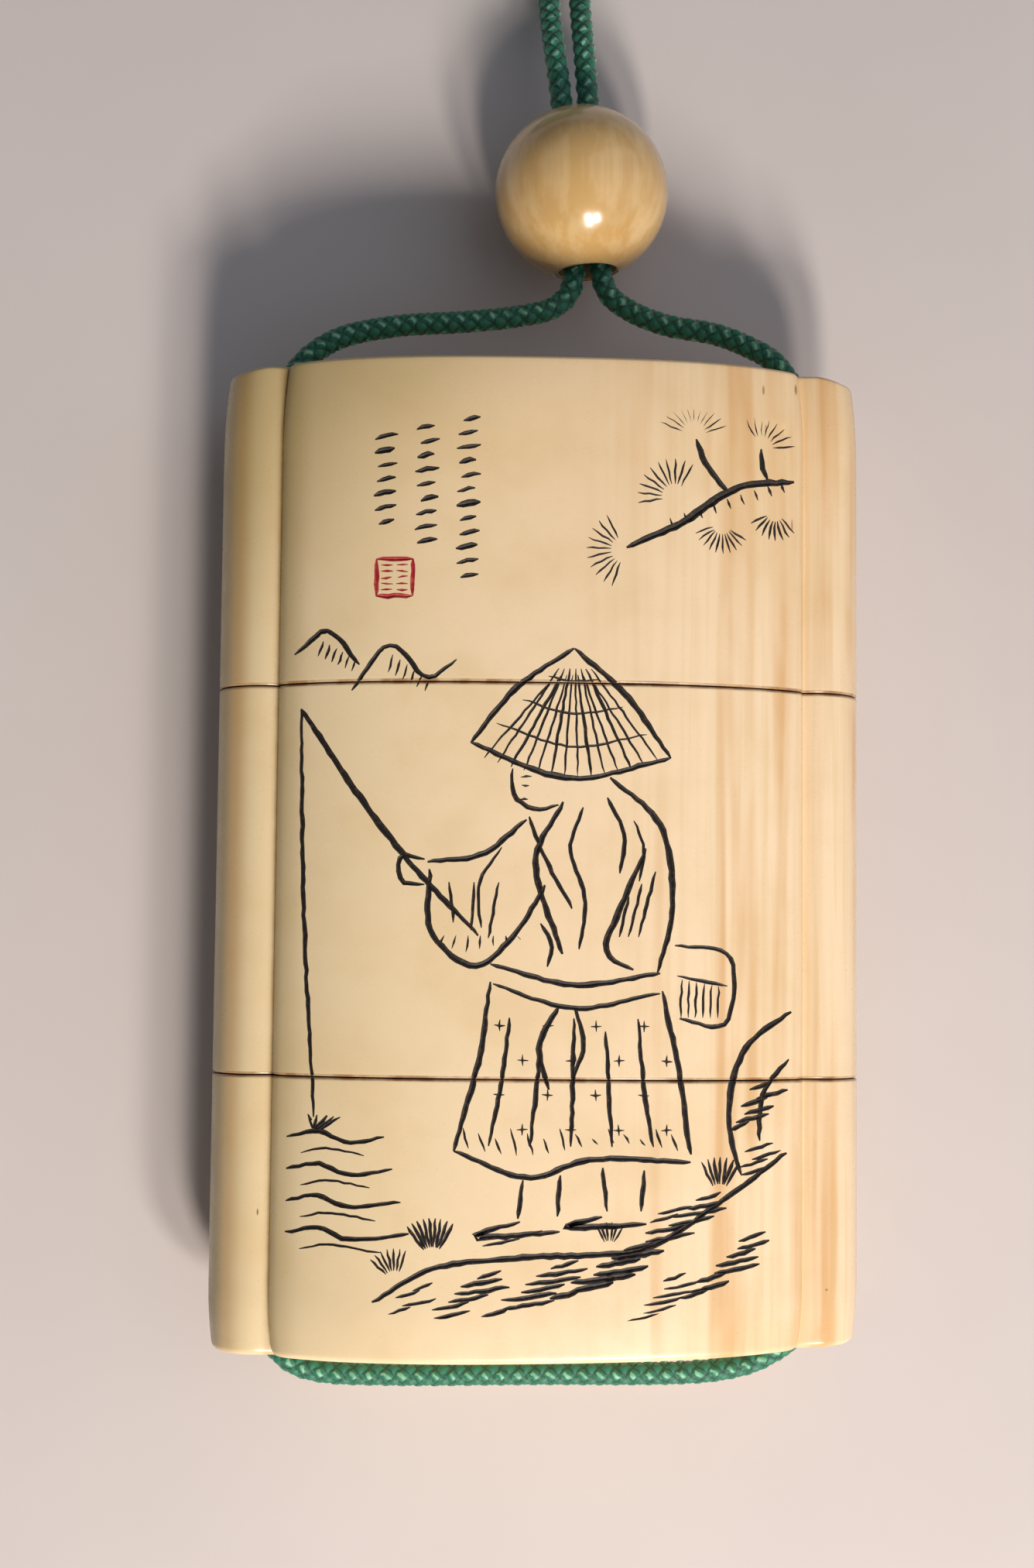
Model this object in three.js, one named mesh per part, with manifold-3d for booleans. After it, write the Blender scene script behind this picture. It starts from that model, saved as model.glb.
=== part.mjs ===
// A small three-section belt case (inro) of polished ivory, threaded on a braided silk cord.
// It lies on its back. X runs across the case, Y towards its lid, Z up out of the front.
// The origin is the middle of the flat rubbed on the back. All sizes are in millimetres.
import * as THREE from 'three';
import { mergeVertices } from 'three/addons/utils/BufferGeometryUtils.js';
import Module from 'manifold-3d';

const wasm = await Module();
wasm.setup();

// Lengths of the three sections along Y
const lidLength = 26.4;
const middleLength = 31.3;
const baseLength = 22.05;
const seamGap = 0.3;

// Cross-section: a bowed panel that steps down to a side rib on each side.
// The bow is part of a wider curve, of panelSpan, that the ribs cut off.
const panelWidth = 42.75;
const panelSpan = 48.9;
const crownDepth = 10;
const panelBow = 2.7;
const panelShoulder = 0.5;
const ribWidth = 5.125;
const ribDepth = 5;
const ribCrownOffset = 1.275;
const grooveStep = 0.08;
const grooveShare = 0.95;
const restWidth = 14;

// Ends of the case
const lidTaper = 0.45;
const lidTaperLength = 7;
const lidEdgeRadius = 0.3;
const baseTaper = 0.4;
const baseTaperLength = 5;
const baseEdgeRadius = 0.5;
const baseCrown = 0.3;
const baseLean = 0.45;

// Compartments, and the risers that seat in the section above
const wallAtRib = 3.775;
const wallAtCrown = 2.9;
const cavityBow = 2.6;
const cavityShoulder = 0.25;
const riserWall = 0.9;
const riserHeight = 6;
const riserClearance = 0.3;
const floorThickness = 2.2;
const lidThickness = 2.6;

// Cord, its channels down the ribs, and the mouths worn towards the middle
const cordDiameter = 2;
const channelClearance = 0.7;
const channelOffset = 0.925;
const mouthReach = 1.5;
const mouthDepth = 2.2;

// Slide bead, to the right of the middle line and above the lid
const beadDiameter = 14.8;
const beadPassage = 0.9;
const beadAside = 3.34;
const beadAbove = 17.245;
const beadTurn = THREE.MathUtils.degToRad(4.6);

// Coil of the spare cord, two strands wide and two high, beyond the bead
const coilAside = 11.64;
const coilBeyond = 35.43;
const coilDiameter = 20.8;
const strandGap = 0.2;
const coilMargin = 0.1;

// Knot that ties the two ends, lying inside the coil
const knotAside = 2.47;
const knotBelow = 1.75;
const knotDiameter = 6.2;
const knotWaist = 0.8;
const knotWraps = 3;
const wrapPitch = 2.1;
const tailLength = 3.2;
const tailSpread = 0.35;
const knotTurn = THREE.MathUtils.degToRad(-120);

// Engraving, drawn on a sheet of plain units that is stretched over the front
const sheetWidth = 44;
const sheetLength = 79.75;
const cutRatio = 0.5;
const cutAbove = 0.4;
const cutTip = 0.14;
const brushLine = 0.5;
const plainLine = 0.38;
const fineLine = 0.28;

// Places that follow from the sizes above
const caseLength = lidLength + middleLength + baseLength;
const halfWidth = panelWidth / 2 + ribWidth;
const ribCrownX = panelWidth / 2 + ribCrownOffset;
const lidTopY = caseLength / 2;
const seamOneY = lidTopY - lidLength;
const seamTwoY = seamOneY - middleLength;
const baseEndY = seamTwoY - baseLength;
const cavityHalfWidth = panelWidth / 2 - wallAtRib;
const cavityHalfDepth = crownDepth - wallAtCrown;
const recessGrowth = riserWall + riserClearance;
const channelX = panelWidth / 2 + channelOffset;
const channelDiameter = cordDiameter + 2 * channelClearance;
const restDepth = panelHeight(restWidth / 2);
const throughLength = 3 * caseLength;
const beadBore = 2 * cordDiameter + beadPassage;
const beadY = lidTopY + beadAbove;
const beadZ = beadDiameter / 2;
const strandPitch = cordDiameter + strandGap;
const coilX = beadAside - coilAside;
const coilY = beadY + coilBeyond;

// Colours
const ivory = { color: 0xeed9ab, roughness: 0.38, metalness: 0 };
const beadIvory = { color: 0xdcb871, roughness: 0.25, metalness: 0 };
const silk = { color: 0x1f5a45, roughness: 0.8, metalness: 0 };

function solid(geometry) {
  const bare = geometry.clone();
  bare.deleteAttribute('normal');
  bare.deleteAttribute('uv');
  const merged = mergeVertices(bare, 1e-5);
  return new wasm.Manifold(new wasm.Mesh({
    numProp: 3,
    vertProperties: new Float32Array(merged.attributes.position.array),
    triVerts: new Uint32Array(merged.index.array),
  }));
}

function geometryOf(manifold) {
  const mesh = manifold.getMesh();
  const geometry = new THREE.BufferGeometry();
  geometry.setAttribute('position', new THREE.BufferAttribute(mesh.vertProperties, 3));
  geometry.setIndex(new THREE.BufferAttribute(mesh.triVerts, 1));
  geometry.computeVertexNormals();
  return geometry;
}

function named(name, geometry, finish) {
  const mesh = new THREE.Mesh(geometry, new THREE.MeshStandardMaterial(finish));
  mesh.name = name;
  return mesh;
}

// Height of the bowed panel over the middle plane, x away from the middle line
function panelHeight(x, inset = 0) {
  const share = Math.min(1, Math.abs(x) / (panelSpan / 2 - inset));
  return (crownDepth - inset) * (1 - share ** panelBow) ** panelShoulder;
}

// Front half of the outer outline, from the middle line out to the edge, as [x, z]
function outerProfile(inset) {
  const panelSteps = 6;
  const innerSteps = 2;
  const outerSteps = 4;
  const start = restWidth / 2;
  const grooveX = panelWidth / 2 - inset - grooveStep;
  const points = [[0, crownDepth - inset]];
  for (let k = 0; k <= panelSteps; k++) {
    const x = start + (grooveX - start) * Math.sin((Math.PI / 2) * (k / panelSteps));
    points.push([x, panelHeight(x, inset)]);
  }
  const ribTop = ribDepth - inset;
  const footX = grooveX + grooveStep;
  const reach = (ribCrownX - footX) / Math.sqrt(1 - grooveShare ** 2);
  for (let k = 0; k <= innerSteps; k++) {
    const x = footX + ((ribCrownX - footX) * k) / innerSteps;
    points.push([x, ribTop * Math.sqrt(1 - ((ribCrownX - x) / reach) ** 2)]);
  }
  for (let k = 1; k <= outerSteps; k++) {
    const angle = (Math.PI / 2) * (k / outerSteps);
    const x = ribCrownX + (halfWidth - inset - ribCrownX) * Math.sin(angle);
    points.push([x, k === outerSteps ? 0 : ribTop * Math.cos(angle)]);
  }
  return points;
}

// The same for a compartment that stands off the cavity by growth
function innerProfile(growth) {
  const steps = 7;
  const width = cavityHalfWidth + growth;
  const depth = cavityHalfDepth + growth;
  const points = [];
  for (let k = 0; k <= steps; k++) {
    const share = Math.sin((Math.PI / 2) * (k / steps));
    points.push([width * share, k === steps ? 0 : depth * (1 - share ** cavityBow) ** cavityShoulder]);
  }
  return points;
}

// A closed ring: over the front from right to left, and back behind. The back is cut flat at backDepth.
function ring(profile, yAt, backDepth) {
  const across = [...profile.slice(1).reverse(), ...profile.map(([x, z]) => [-x, z])];
  const front = across.map(([x, z]) => new THREE.Vector3(x, yAt(x), z));
  const behind = across.slice(1, -1).reverse();
  const back = behind.map(([x, z]) => new THREE.Vector3(x, yAt(x), -Math.min(z, backDepth)));
  return [...front, ...back];
}

// Skins rings of equal count, lowest first, and closes both ends with strips from front to back
function loft(rings) {
  const count = rings[0].length;
  const last = count / 2;
  const index = [];
  rings.slice(1).forEach((upper, r) => {
    for (let k = 0; k < count; k++) {
      const a = r * count + k;
      const b = r * count + ((k + 1) % count);
      index.push(a, b + count, b, a, a + count, b + count);
    }
  });
  const closeEnd = (first, face) => {
    const front = (k) => first + k;
    const back = (k) => first + ((count - k) % count);
    for (let k = 0; k < last; k++) {
      if (k > 0) face(front(k), front(k + 1), back(k));
      if (k < last - 1) face(front(k + 1), back(k + 1), back(k));
    }
  };
  closeEnd(0, (a, b, c) => index.push(a, b, c));
  closeEnd((rings.length - 1) * count, (a, b, c) => index.push(a, c, b));
  const geometry = new THREE.BufferGeometry();
  const flat = rings.flat().flatMap((p) => [p.x, p.y, p.z]);
  geometry.setAttribute('position', new THREE.Float32BufferAttribute(flat, 3));
  geometry.setIndex(index);
  return geometry;
}

// How far the outline draws in, at a distance from the end
function endInset(distance, taper, taperLength, radius) {
  const draw = distance < taperLength ? taper * (1 - distance / taperLength) ** 2 : 0;
  const round = distance < radius ? radius - Math.sqrt(radius ** 2 - (radius - distance) ** 2) : 0;
  return draw + round;
}

function outerRing(inset, yAt) {
  return ring(outerProfile(inset), yAt, restDepth - inset);
}

function hollow(growth, fromY, toY) {
  const profile = innerProfile(growth);
  return solid(loft([fromY, toY].map((y) => ring(profile, () => y, Infinity))));
}

function lidShell() {
  const distances = [lidTaperLength, lidTaperLength / 2, lidEdgeRadius, 0.3 * lidEdgeRadius, 0];
  const rings = distances.map((d) => outerRing(
    endInset(d, lidTaper, lidTaperLength, lidEdgeRadius),
    () => lidTopY - d,
  ));
  return solid(loft([outerRing(0, () => seamOneY + seamGap / 2), ...rings]));
}

function middleShell() {
  const ends = [seamTwoY + seamGap / 2, seamOneY - seamGap / 2];
  return solid(loft(ends.map((y) => outerRing(0, () => y))));
}

// The base end bows out a little and leans, as the hand-shaped original does
function baseEndAt(x) {
  const share = x / halfWidth;
  return baseEndY + baseLean * share + baseCrown * share ** 2;
}

function baseShell() {
  const distances = [0, 0.15, 0.5, 1].map((share) => share * baseEdgeRadius);
  const rings = [...distances, baseTaperLength].map((d) => outerRing(
    endInset(d, baseTaper, baseTaperLength, baseEdgeRadius),
    (x) => baseEndAt(x) + d,
  ));
  return solid(loft([...rings, outerRing(0, () => seamTwoY - seamGap / 2)]));
}

function channels() {
  const bore = new THREE.CylinderGeometry(channelDiameter / 2, channelDiameter / 2, throughLength, 12);
  return [-1, 1].map((side) => solid(bore.clone().translate(side * channelX, 0, 0)));
}

// Slots where the cord has worn each channel mouth towards the middle of the end
function channelMouths(endY) {
  const deep = 2 * mouthDepth;
  const round = new THREE.CylinderGeometry(channelDiameter / 2, channelDiameter / 2, deep, 12);
  const slot = new THREE.BoxGeometry(mouthReach, deep, channelDiameter);
  return [-1, 1].map((side) => {
    const innerX = side * (channelX - mouthReach);
    const middleX = side * (channelX - mouthReach / 2);
    return solid(round.clone().translate(innerX, endY, 0))
      .add(solid(slot.clone().translate(middleX, endY, 0)));
  });
}

// Where a point of the picture's sheet comes on the front
function onFront([x, y]) {
  return new THREE.Vector2((x * panelWidth) / sheetWidth, (y * caseLength) / sheetLength);
}

// A burin cut: a V-section groove along a curve on the front, tapering to both ends
function burinCut(stroke) {
  const curve = new THREE.SplineCurve(stroke.points.map(onFront));
  const steps = Math.max(2, 2 * (stroke.points.length - 1));
  const across = 3;
  const positions = [];
  const index = [];
  for (let k = 0; k <= steps; k++) {
    const at = curve.getPoint(k / steps);
    const along = curve.getTangent(k / steps);
    const swell = cutTip + (1 - cutTip) * Math.sin(Math.PI * (k / steps)) ** 0.6;
    const width = stroke.width * swell;
    const depth = width * cutRatio;
    const spread = (width / 2) * ((depth + cutAbove) / depth);
    const surface = panelHeight(at.x);
    const top = surface + cutAbove;
    positions.push(at.x - along.y * spread, at.y + along.x * spread, top);
    positions.push(at.x + along.y * spread, at.y - along.x * spread, top);
    positions.push(at.x, at.y, surface - depth);
  }
  for (let k = 0; k < steps; k++) {
    for (let side = 0; side < across; side++) {
      const a = k * across + side;
      const b = k * across + ((side + 1) % across);
      index.push(a, b, b + across, a, b + across, a + across);
    }
  }
  const end = steps * across;
  index.push(0, 2, 1, end, end + 1, end + 2);
  const geometry = new THREE.BufferGeometry();
  geometry.setAttribute('position', new THREE.Float32BufferAttribute(positions, 3));
  geometry.setIndex(index);
  return solid(geometry);
}

function line(width, ...points) {
  return { width, points };
}

// Strokes that fan out from a point, such as pine needles and grass
function fan(x, y, reach, fromAngle, toAngle, count, width) {
  const strokes = [];
  for (let k = 0; k < count; k++) {
    const angle = THREE.MathUtils.degToRad(fromAngle + ((toAngle - fromAngle) * k) / (count - 1));
    const near = 0.18 * reach;
    const start = [x + near * Math.cos(angle), y + near * Math.sin(angle)];
    strokes.push(line(width, start, [x + reach * Math.cos(angle), y + reach * Math.sin(angle)]));
  }
  return strokes;
}

// An angler in a broad straw hat, on a bank under a pine bough
function hatStrokes() {
  const apex = [2.4, 16.2];
  const left = [-6, 8.6];
  const right = [10.4, 7.6];
  const strokes = [
    line(brushLine, apex, [-2.2, 13.1], left),
    line(brushLine, apex, [6.6, 12.6], right),
    line(brushLine, left, [2, 5.9], right),
  ];
  const straws = 5;
  const strawTop = 14.6;
  const brimY = 7.8;
  const brimDip = 0.1;
  for (let k = 1; k < straws; k++) {
    const x = left[0] + ((right[0] - left[0]) * k) / straws;
    const topX = apex[0] + (x - apex[0]) / straws;
    strokes.push(line(fineLine, [topX, strawTop], [x, brimY - brimDip * k * (straws - k)]));
  }
  return strokes;
}

function robeStrokes() {
  const strokes = [
    line(plainLine, [-2.6, 6.6], [-2.4, 4.4], [-0.6, 3.4], [1.2, 3.8]),
    line(brushLine, [1.6, 4], [-0.6, -0.6], [1.6, -8]),
    line(plainLine, [-1.2, 2.8], [0.2, -0.6], [2.4, -4.4]),
    line(brushLine, [5.4, 6], [9.6, 2.2], [10.6, -4.6], [9.4, -9.4]),
    line(brushLine, [-1.4, 2.6], [-5, -0.2], [-9.4, -0.8]),
    line(brushLine, [-9.2, -1.4], [-9, -6.4], [-5.4, -9], [-2.4, -6.6], [0.2, -2.6]),
    line(plainLine, [-9.6, -0.6], [-11.6, -0.4], [-11.4, -2.4], [-9.6, -2.6]),
    line(brushLine, [8.4, 0.4], [6.2, -4.6], [5.2, -7.8], [7.4, -9.2]),
    line(brushLine, [-4.2, -8.8], [2.6, -10.4], [9.6, -9.4]),
    line(plainLine, [-4, -10.4], [2.6, -12.2], [9.6, -11]),
    line(brushLine, [-4.2, -10.2], [-5, -16], [-7, -23.4]),
    line(brushLine, [9.8, -10.8], [11.2, -17], [12.2, -23.6]),
    line(brushLine, [-7, -23.4], [-1, -25.4], [4, -24], [12.2, -24.2]),
    line(brushLine, [1.4, -12], [-0.2, -15.2], [0.6, -18.6]),
    line(plainLine, [2.6, -12], [3.4, -15], [2.4, -18]),
    line(plainLine, [-1.4, -25.6], [-1.8, -28.6]),
    line(plainLine, [1.6, -25.2], [1.4, -28.4]),
    line(plainLine, [5, -24.6], [5.4, -28]),
    line(plainLine, [8.4, -24.8], [8.2, -28]),
    line(brushLine, [-1.6, -28.8], [-5.4, -30], [1.6, -29.6]),
    line(brushLine, [5, -28.4], [1.9, -29.2], [8.6, -29]),
  ];
  const folds = 5;
  for (let k = 0; k < folds; k++) {
    const x = -2.6 + 2.6 * k;
    const sway = 0.28 * (k - 2.2);
    strokes.push(line(plainLine, [x, -13 - (k % 2)], [x + sway, -18], [x + 2.6 * sway, -23]));
  }
  for (let k = 0; k < 3; k++) {
    strokes.push(line(fineLine, [-7.6 + 2 * k, -2.4], [-7.2 + 1.4 * k, -5.6 - 0.6 * k]));
    strokes.push(line(fineLine, [9.2 - 1.1 * k, -1.4 - k], [7.8 - 0.8 * k, -6.6]));
  }
  return strokes;
}

function rodStrokes() {
  const tip = [-20, 11.4];
  return [
    line(brushLine, [-5.2, -6.6], [-10.4, -1.4], [-15.6, 5], tip),
    line(fineLine, tip, [-19.6, -4], [-18.4, -21]),
    line(plainLine, [10.8, -7.2], [15.4, -8], [15, -13.4], [11.2, -13]),
    line(fineLine, [11, -9.6], [15.2, -10.4]),
  ];
}

function bankStrokes() {
  const ledge = [[20.4, -23.6], [14.6, -27.4], [8.6, -30.8], [-1.6, -31.6], [-8.8, -32.6], [-13.4, -35.2]];
  const ledgeCurve = new THREE.SplineCurve(ledge.map(([x, y]) => new THREE.Vector2(x, y)));
  const strokes = [
    line(brushLine, ...ledge),
    line(brushLine, [20.8, -12.4], [16.8, -15.4], [15.4, -20.6], [16.4, -25.2]),
    line(plainLine, [20.6, -16.2], [18.4, -18.8], [18, -22.6]),
  ];
  const hatches = 15;
  for (let k = 0; k < hatches; k++) {
    const top = ledgeCurve.getPoint(0.04 + (0.92 * k) / (hatches - 1));
    const drop = 2.4 + 1.3 * Math.sin(2.4 * k);
    strokes.push(line(brushLine, [top.x - 0.1, top.y - 0.7], [top.x - 0.45 * drop, top.y - drop]));
  }
  for (let k = 0; k < 4; k++) {
    const y = -22.6 - 2.5 * k;
    strokes.push(line(plainLine, [-20.6, y], [-18, y + 0.5], [-15.6, y - 0.3], [-12.6 + 0.7 * k, y + 0.2]));
  }
  return [
    ...strokes,
    ...fan(-8.6, -32, 3.4, 62, 128, 5, plainLine),
    ...fan(14.6, -27, 3.2, 58, 118, 4, plainLine),
  ];
}

function pineStrokes() {
  const tufts = [[6.4, 24.2, 118, 252], [10.6, 28.6, 60, 190], [12.2, 33.6, 20, 160], [18, 33, 10, 120]];
  return [
    line(1.3 * brushLine, [21, 30.6], [16, 29.6], [11, 26.4], [6.6, 24.4]),
    line(brushLine, [15.2, 29.2], [13.4, 31.2], [12.4, 33.4]),
    ...tufts.flatMap(([x, y, from, to]) => fan(x, y, 3.1, from, to, 7, fineLine)),
  ];
}

function hillStrokes() {
  return [
    line(plainLine, [-15.8, 12.8], [-12.6, 16.4], [-9.6, 13.8], [-7.2, 15.2]),
    line(plainLine, [-20.6, 15.8], [-18, 17.6], [-15.2, 14.8]),
  ];
}

// Three columns of short separate dashes that mean nothing, and a small seal frame beside them
function columnStrokes() {
  const strokes = [];
  const columns = [[-6.4, 12], [-9.8, 9], [-13.2, 7]];
  const dashPitch = 1.15;
  columns.forEach(([x, dashes], column) => {
    for (let k = 0; k < dashes; k++) {
      const y = 34.4 - 0.7 * column - dashPitch * k;
      const left = x - 0.5 - 0.5 * Math.abs(Math.sin(2.3 * k + column));
      const right = x + 0.5 + 0.5 * Math.abs(Math.sin(1.7 * k + 2 * column + 1));
      strokes.push(line(plainLine, [left, y], [right, y + 0.35]));
    }
  });
  const sealX = -12.4;
  const sealY = 21.8;
  const sealHalf = 1.5;
  for (const [dx, dy] of [[1, 0], [0, 1], [-1, 0], [0, -1]]) {
    const cornerA = [sealX + sealHalf * (dx - dy), sealY + sealHalf * (dy - dx)];
    const cornerB = [sealX + sealHalf * (dx + dy), sealY + sealHalf * (dy + dx)];
    strokes.push(line(plainLine, cornerA, cornerB));
  }
  return strokes;
}

const picture = [
  ...hatStrokes(),
  ...robeStrokes(),
  ...rodStrokes(),
  ...bankStrokes(),
  ...pineStrokes(),
  ...hillStrokes(),
  ...columnStrokes(),
];
const cuts = picture.map(burinCut).reduce((all, cut) => all.add(cut));

function lidSection() {
  const inside = hollow(recessGrowth, seamOneY - seamGap, lidTopY - lidThickness);
  return [...channels(), ...channelMouths(lidTopY), inside, cuts]
    .reduce((body, cut) => body.subtract(cut), lidShell());
}

function middleSection() {
  const recessTop = seamTwoY + riserHeight + riserClearance;
  const riserTop = seamOneY + riserHeight;
  const recess = hollow(recessGrowth, seamTwoY - seamGap, recessTop);
  const inside = hollow(0, recessTop + floorThickness, riserTop + seamGap);
  return [...channels(), recess, cuts]
    .reduce((body, cut) => body.subtract(cut), middleShell())
    .add(hollow(riserWall, recessTop + floorThickness, riserTop))
    .subtract(inside);
}

function baseSection() {
  const riserTop = seamTwoY + riserHeight;
  const floorY = baseEndY + baseLean + floorThickness;
  return [...channels(), ...channelMouths(baseEndY), cuts]
    .reduce((body, cut) => body.subtract(cut), baseShell())
    .add(hollow(riserWall, floorY, riserTop))
    .subtract(hollow(0, floorY, riserTop + seamGap));
}

function beadGeometry() {
  const radius = beadDiameter / 2;
  const boreRadius = beadBore / 2;
  const poleAngle = Math.asin(boreRadius / radius);
  const arcs = 10;
  const profile = [];
  for (let k = 0; k <= arcs; k++) {
    const angle = poleAngle + ((Math.PI - 2 * poleAngle) * k) / arcs;
    profile.push(new THREE.Vector2(radius * Math.sin(angle), -radius * Math.cos(angle)));
  }
  profile.push(profile[0].clone());
  return new THREE.LatheGeometry(profile, 20);
}

function cordTube(points, stepLength) {
  const route = new THREE.CatmullRomCurve3(points.map((p) => new THREE.Vector3(...p)));
  const sides = 8;
  const section = new THREE.Shape();
  for (let k = 0; k < sides; k++) {
    const angle = (2 * Math.PI * k) / sides;
    const x = (cordDiameter / 2) * Math.cos(angle);
    const y = (cordDiameter / 2) * Math.sin(angle);
    if (k === 0) section.moveTo(x, y);
    else section.lineTo(x, y);
  }
  section.closePath();
  const steps = Math.ceil(route.getLength() / stepLength);
  return new THREE.ExtrudeGeometry(section, { steps, bevelEnabled: false, extrudePath: route });
}

// Points of a cord's route, given as they lie from the bead's middle or from a channel's end
function fromBead(...points) {
  return points.map(([x, y, z]) => [beadAside + x, beadY + y, beadZ + z]);
}

function fromChannel(side, endY, ...points) {
  return points.map(([x, y, z = 0]) => [side * channelX + x, endY + y, restDepth + z]);
}

// The cord that the case holds: from the bead down one rib, under the base and up the other rib
const loopRoute = [
  ...fromBead(
    [-1.6, 5.73, 0], [-1.04, -1.27, 0], [-0.58, -6.87, 0], [-1.04, -8.87, 0.1],
    [-2.44, -10.17, 0.3], [-5.14, -10.97, 0.6], [-9.54, -11.67, 1.1],
  ),
  ...fromChannel(
    -1, lidTopY,
    [9.7, 4.875, -0.77], [5.2, 3.675, -0.37], [2.7, 1.975, -0.07], [1.3, 0.175], [0.3, -2.125],
    [0, -5.725], [0, -lidTopY / 2],
  ),
  ...fromChannel(
    -1, baseEndY,
    [0, lidTopY], [0, lidTopY / 2], [0, 5.725], [0.3, 2.125], [1.4, -0.225], [2.8, -1.425],
    [4.9, -2.075], [10.3, -2.325], [channelX, -2.225],
  ),
  ...fromChannel(
    1, baseEndY,
    [-10.3, -2.125], [-6.9, -1.825], [-4.3, -1.175], [-2.7, -0.375], [-1.4, 0.525], [-0.3, 2.725],
    [0, 6.725], [0, lidTopY / 2], [0, lidTopY],
  ),
  ...fromChannel(
    1, lidTopY,
    [0, -lidTopY / 2], [0, -5.725], [-0.3, -2.125], [-1.2, 0.175], [-2.7, 2.275, -0.07],
    [-4.7, 3.575, -0.47], [-7.5, 4.775, -0.97],
  ),
  ...fromBead(
    [7.26, -11.57, 0.8], [4.26, -10.27, 0.3], [2.46, -8.87, 0.1], [1.71, -6.87, 0],
    [1.28, -1.27, 0], [0.7, 5.73, 0],
  ),
];

// The two strands beyond the bead, down to the surface and up to the coil
const leftStrandRoute = fromBead(
  [-1.64, 6.03, 0], [-1.79, 7.93, -0.02], [-2.04, 10.13, -0.25], [-2.34, 12.53, -0.9],
  [-2.59, 14.93, -1.9], [-2.74, 17.33, -3.1], [-2.74, 19.73, -4.3], [-2.62, 21.93, -5.3],
  [-2.48, 23.73, -5.95], [-2.39, 25.33, -6.28],
);
const rightStrandRoute = fromBead(
  [0.66, 6.03, 0], [0.51, 7.93, -0.02], [0.36, 10.13, -0.25], [0.21, 12.53, -0.9],
  [0.08, 14.93, -1.9], [-0.02, 17.33, -3.1], [-0.08, 19.73, -4.3], [-0.12, 21.93, -5.3],
  [-0.14, 24.13, -6], [-0.14, 26.13, -6.32], [-0.14, 28, -6.39],
);

function coilGeometry() {
  const middle = coilDiameter / 2;
  const half = (strandPitch + cordDiameter) / 2 + coilMargin;
  const top = strandPitch + cordDiameter;
  const corner = 0.6;
  const section = [
    [-half + corner, 0], [half - corner, 0], [half, corner], [half, top - corner],
    [half - corner, top], [-half + corner, top], [-half, top - corner], [-half, corner],
  ];
  const profile = section.map(([r, z]) => new THREE.Vector2(middle + r, z));
  profile.push(profile[0].clone());
  return new THREE.LatheGeometry(profile, 28).rotateX(Math.PI / 2);
}

// A barrel knot: wraps round both cords, and two short tails
function knotGeometry() {
  const radius = knotDiameter / 2;
  const length = knotWraps * wrapPitch;
  const profile = [new THREE.Vector2(0, -length / 2)];
  const perWrap = 4;
  for (let k = 0; k <= knotWraps * perWrap; k++) {
    const swell = Math.abs(Math.sin((Math.PI * k) / perWrap));
    const y = -length / 2 + (length * k) / (knotWraps * perWrap);
    profile.push(new THREE.Vector2(radius * (knotWaist + (1 - knotWaist) * swell), y));
  }
  profile.push(new THREE.Vector2(0, length / 2));
  const barrel = solid(new THREE.LatheGeometry(profile, 14));
  const tails = [-1, 1].map((side) => {
    const reach = tailLength + length / 2;
    const tail = new THREE.CylinderGeometry(cordDiameter / 2, cordDiameter / 2, reach, 8);
    return solid(tail.translate(0, reach / 2, 0).rotateZ(side * tailSpread));
  });
  return geometryOf(tails.reduce((all, tail) => all.add(tail), barrel));
}

const inro = new THREE.Group();

const caseGroup = new THREE.Group();
caseGroup.position.z = restDepth;
caseGroup.add(
  named('lid', geometryOf(lidSection()), ivory),
  named('middle_case', geometryOf(middleSection()), ivory),
  named('base_case', geometryOf(baseSection()), ivory),
);
inro.add(caseGroup);

const bead = named('bead', beadGeometry(), beadIvory);
bead.position.set(beadAside, beadY, beadZ);
bead.rotation.z = beadTurn;
inro.add(bead);

const coil = named('cord_coil', coilGeometry(), silk);
coil.position.set(coilX, coilY, 0);

const knot = named('cord_knot', knotGeometry(), silk);
knot.position.set(coilX - knotAside, coilY - knotBelow, knotDiameter / 2);
knot.rotation.z = knotTurn;

inro.add(
  named('cord_loop', cordTube(loopRoute, 2 * cordDiameter), silk),
  named('strand_left', cordTube(leftStrandRoute, 2 * cordDiameter), silk),
  named('strand_right', cordTube(rightStrandRoute, 2 * cordDiameter), silk),
  coil,
  knot,
);

export default inro;
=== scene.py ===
# Blender 4.5: the looks of a small ivory belt case (inro) on a braided silk cord with a slide bead.
# Shapes are worked out in millimetres, in the same frame as the CAD, and scaled to metres at the end.
import math
import random
from functools import partial

import bpy
from mathutils import Matrix, Vector


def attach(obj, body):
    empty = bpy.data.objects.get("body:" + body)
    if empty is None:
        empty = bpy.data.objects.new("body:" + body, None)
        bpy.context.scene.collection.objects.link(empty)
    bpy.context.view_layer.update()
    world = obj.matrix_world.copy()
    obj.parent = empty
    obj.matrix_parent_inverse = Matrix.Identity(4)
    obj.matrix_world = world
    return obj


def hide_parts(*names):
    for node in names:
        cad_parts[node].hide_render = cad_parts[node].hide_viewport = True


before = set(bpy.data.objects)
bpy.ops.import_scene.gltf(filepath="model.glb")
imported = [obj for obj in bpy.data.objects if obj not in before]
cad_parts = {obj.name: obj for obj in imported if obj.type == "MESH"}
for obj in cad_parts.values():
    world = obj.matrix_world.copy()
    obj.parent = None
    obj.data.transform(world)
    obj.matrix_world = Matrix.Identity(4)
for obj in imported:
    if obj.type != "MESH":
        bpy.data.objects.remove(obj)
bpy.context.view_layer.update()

bpy.ops.object.select_all(action="DESELECT")
print("frame loaded:", len(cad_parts), "nodes")

mm = 0.001
seed = 7


def toLinear(hexColour):
    shares = [int(hexColour[k:k + 2], 16) / 255 for k in (1, 3, 5)]
    return [c / 12.92 if c <= 0.04045 else ((c + 0.055) / 1.055) ** 2.4 for c in shares] + [1.0]


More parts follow.
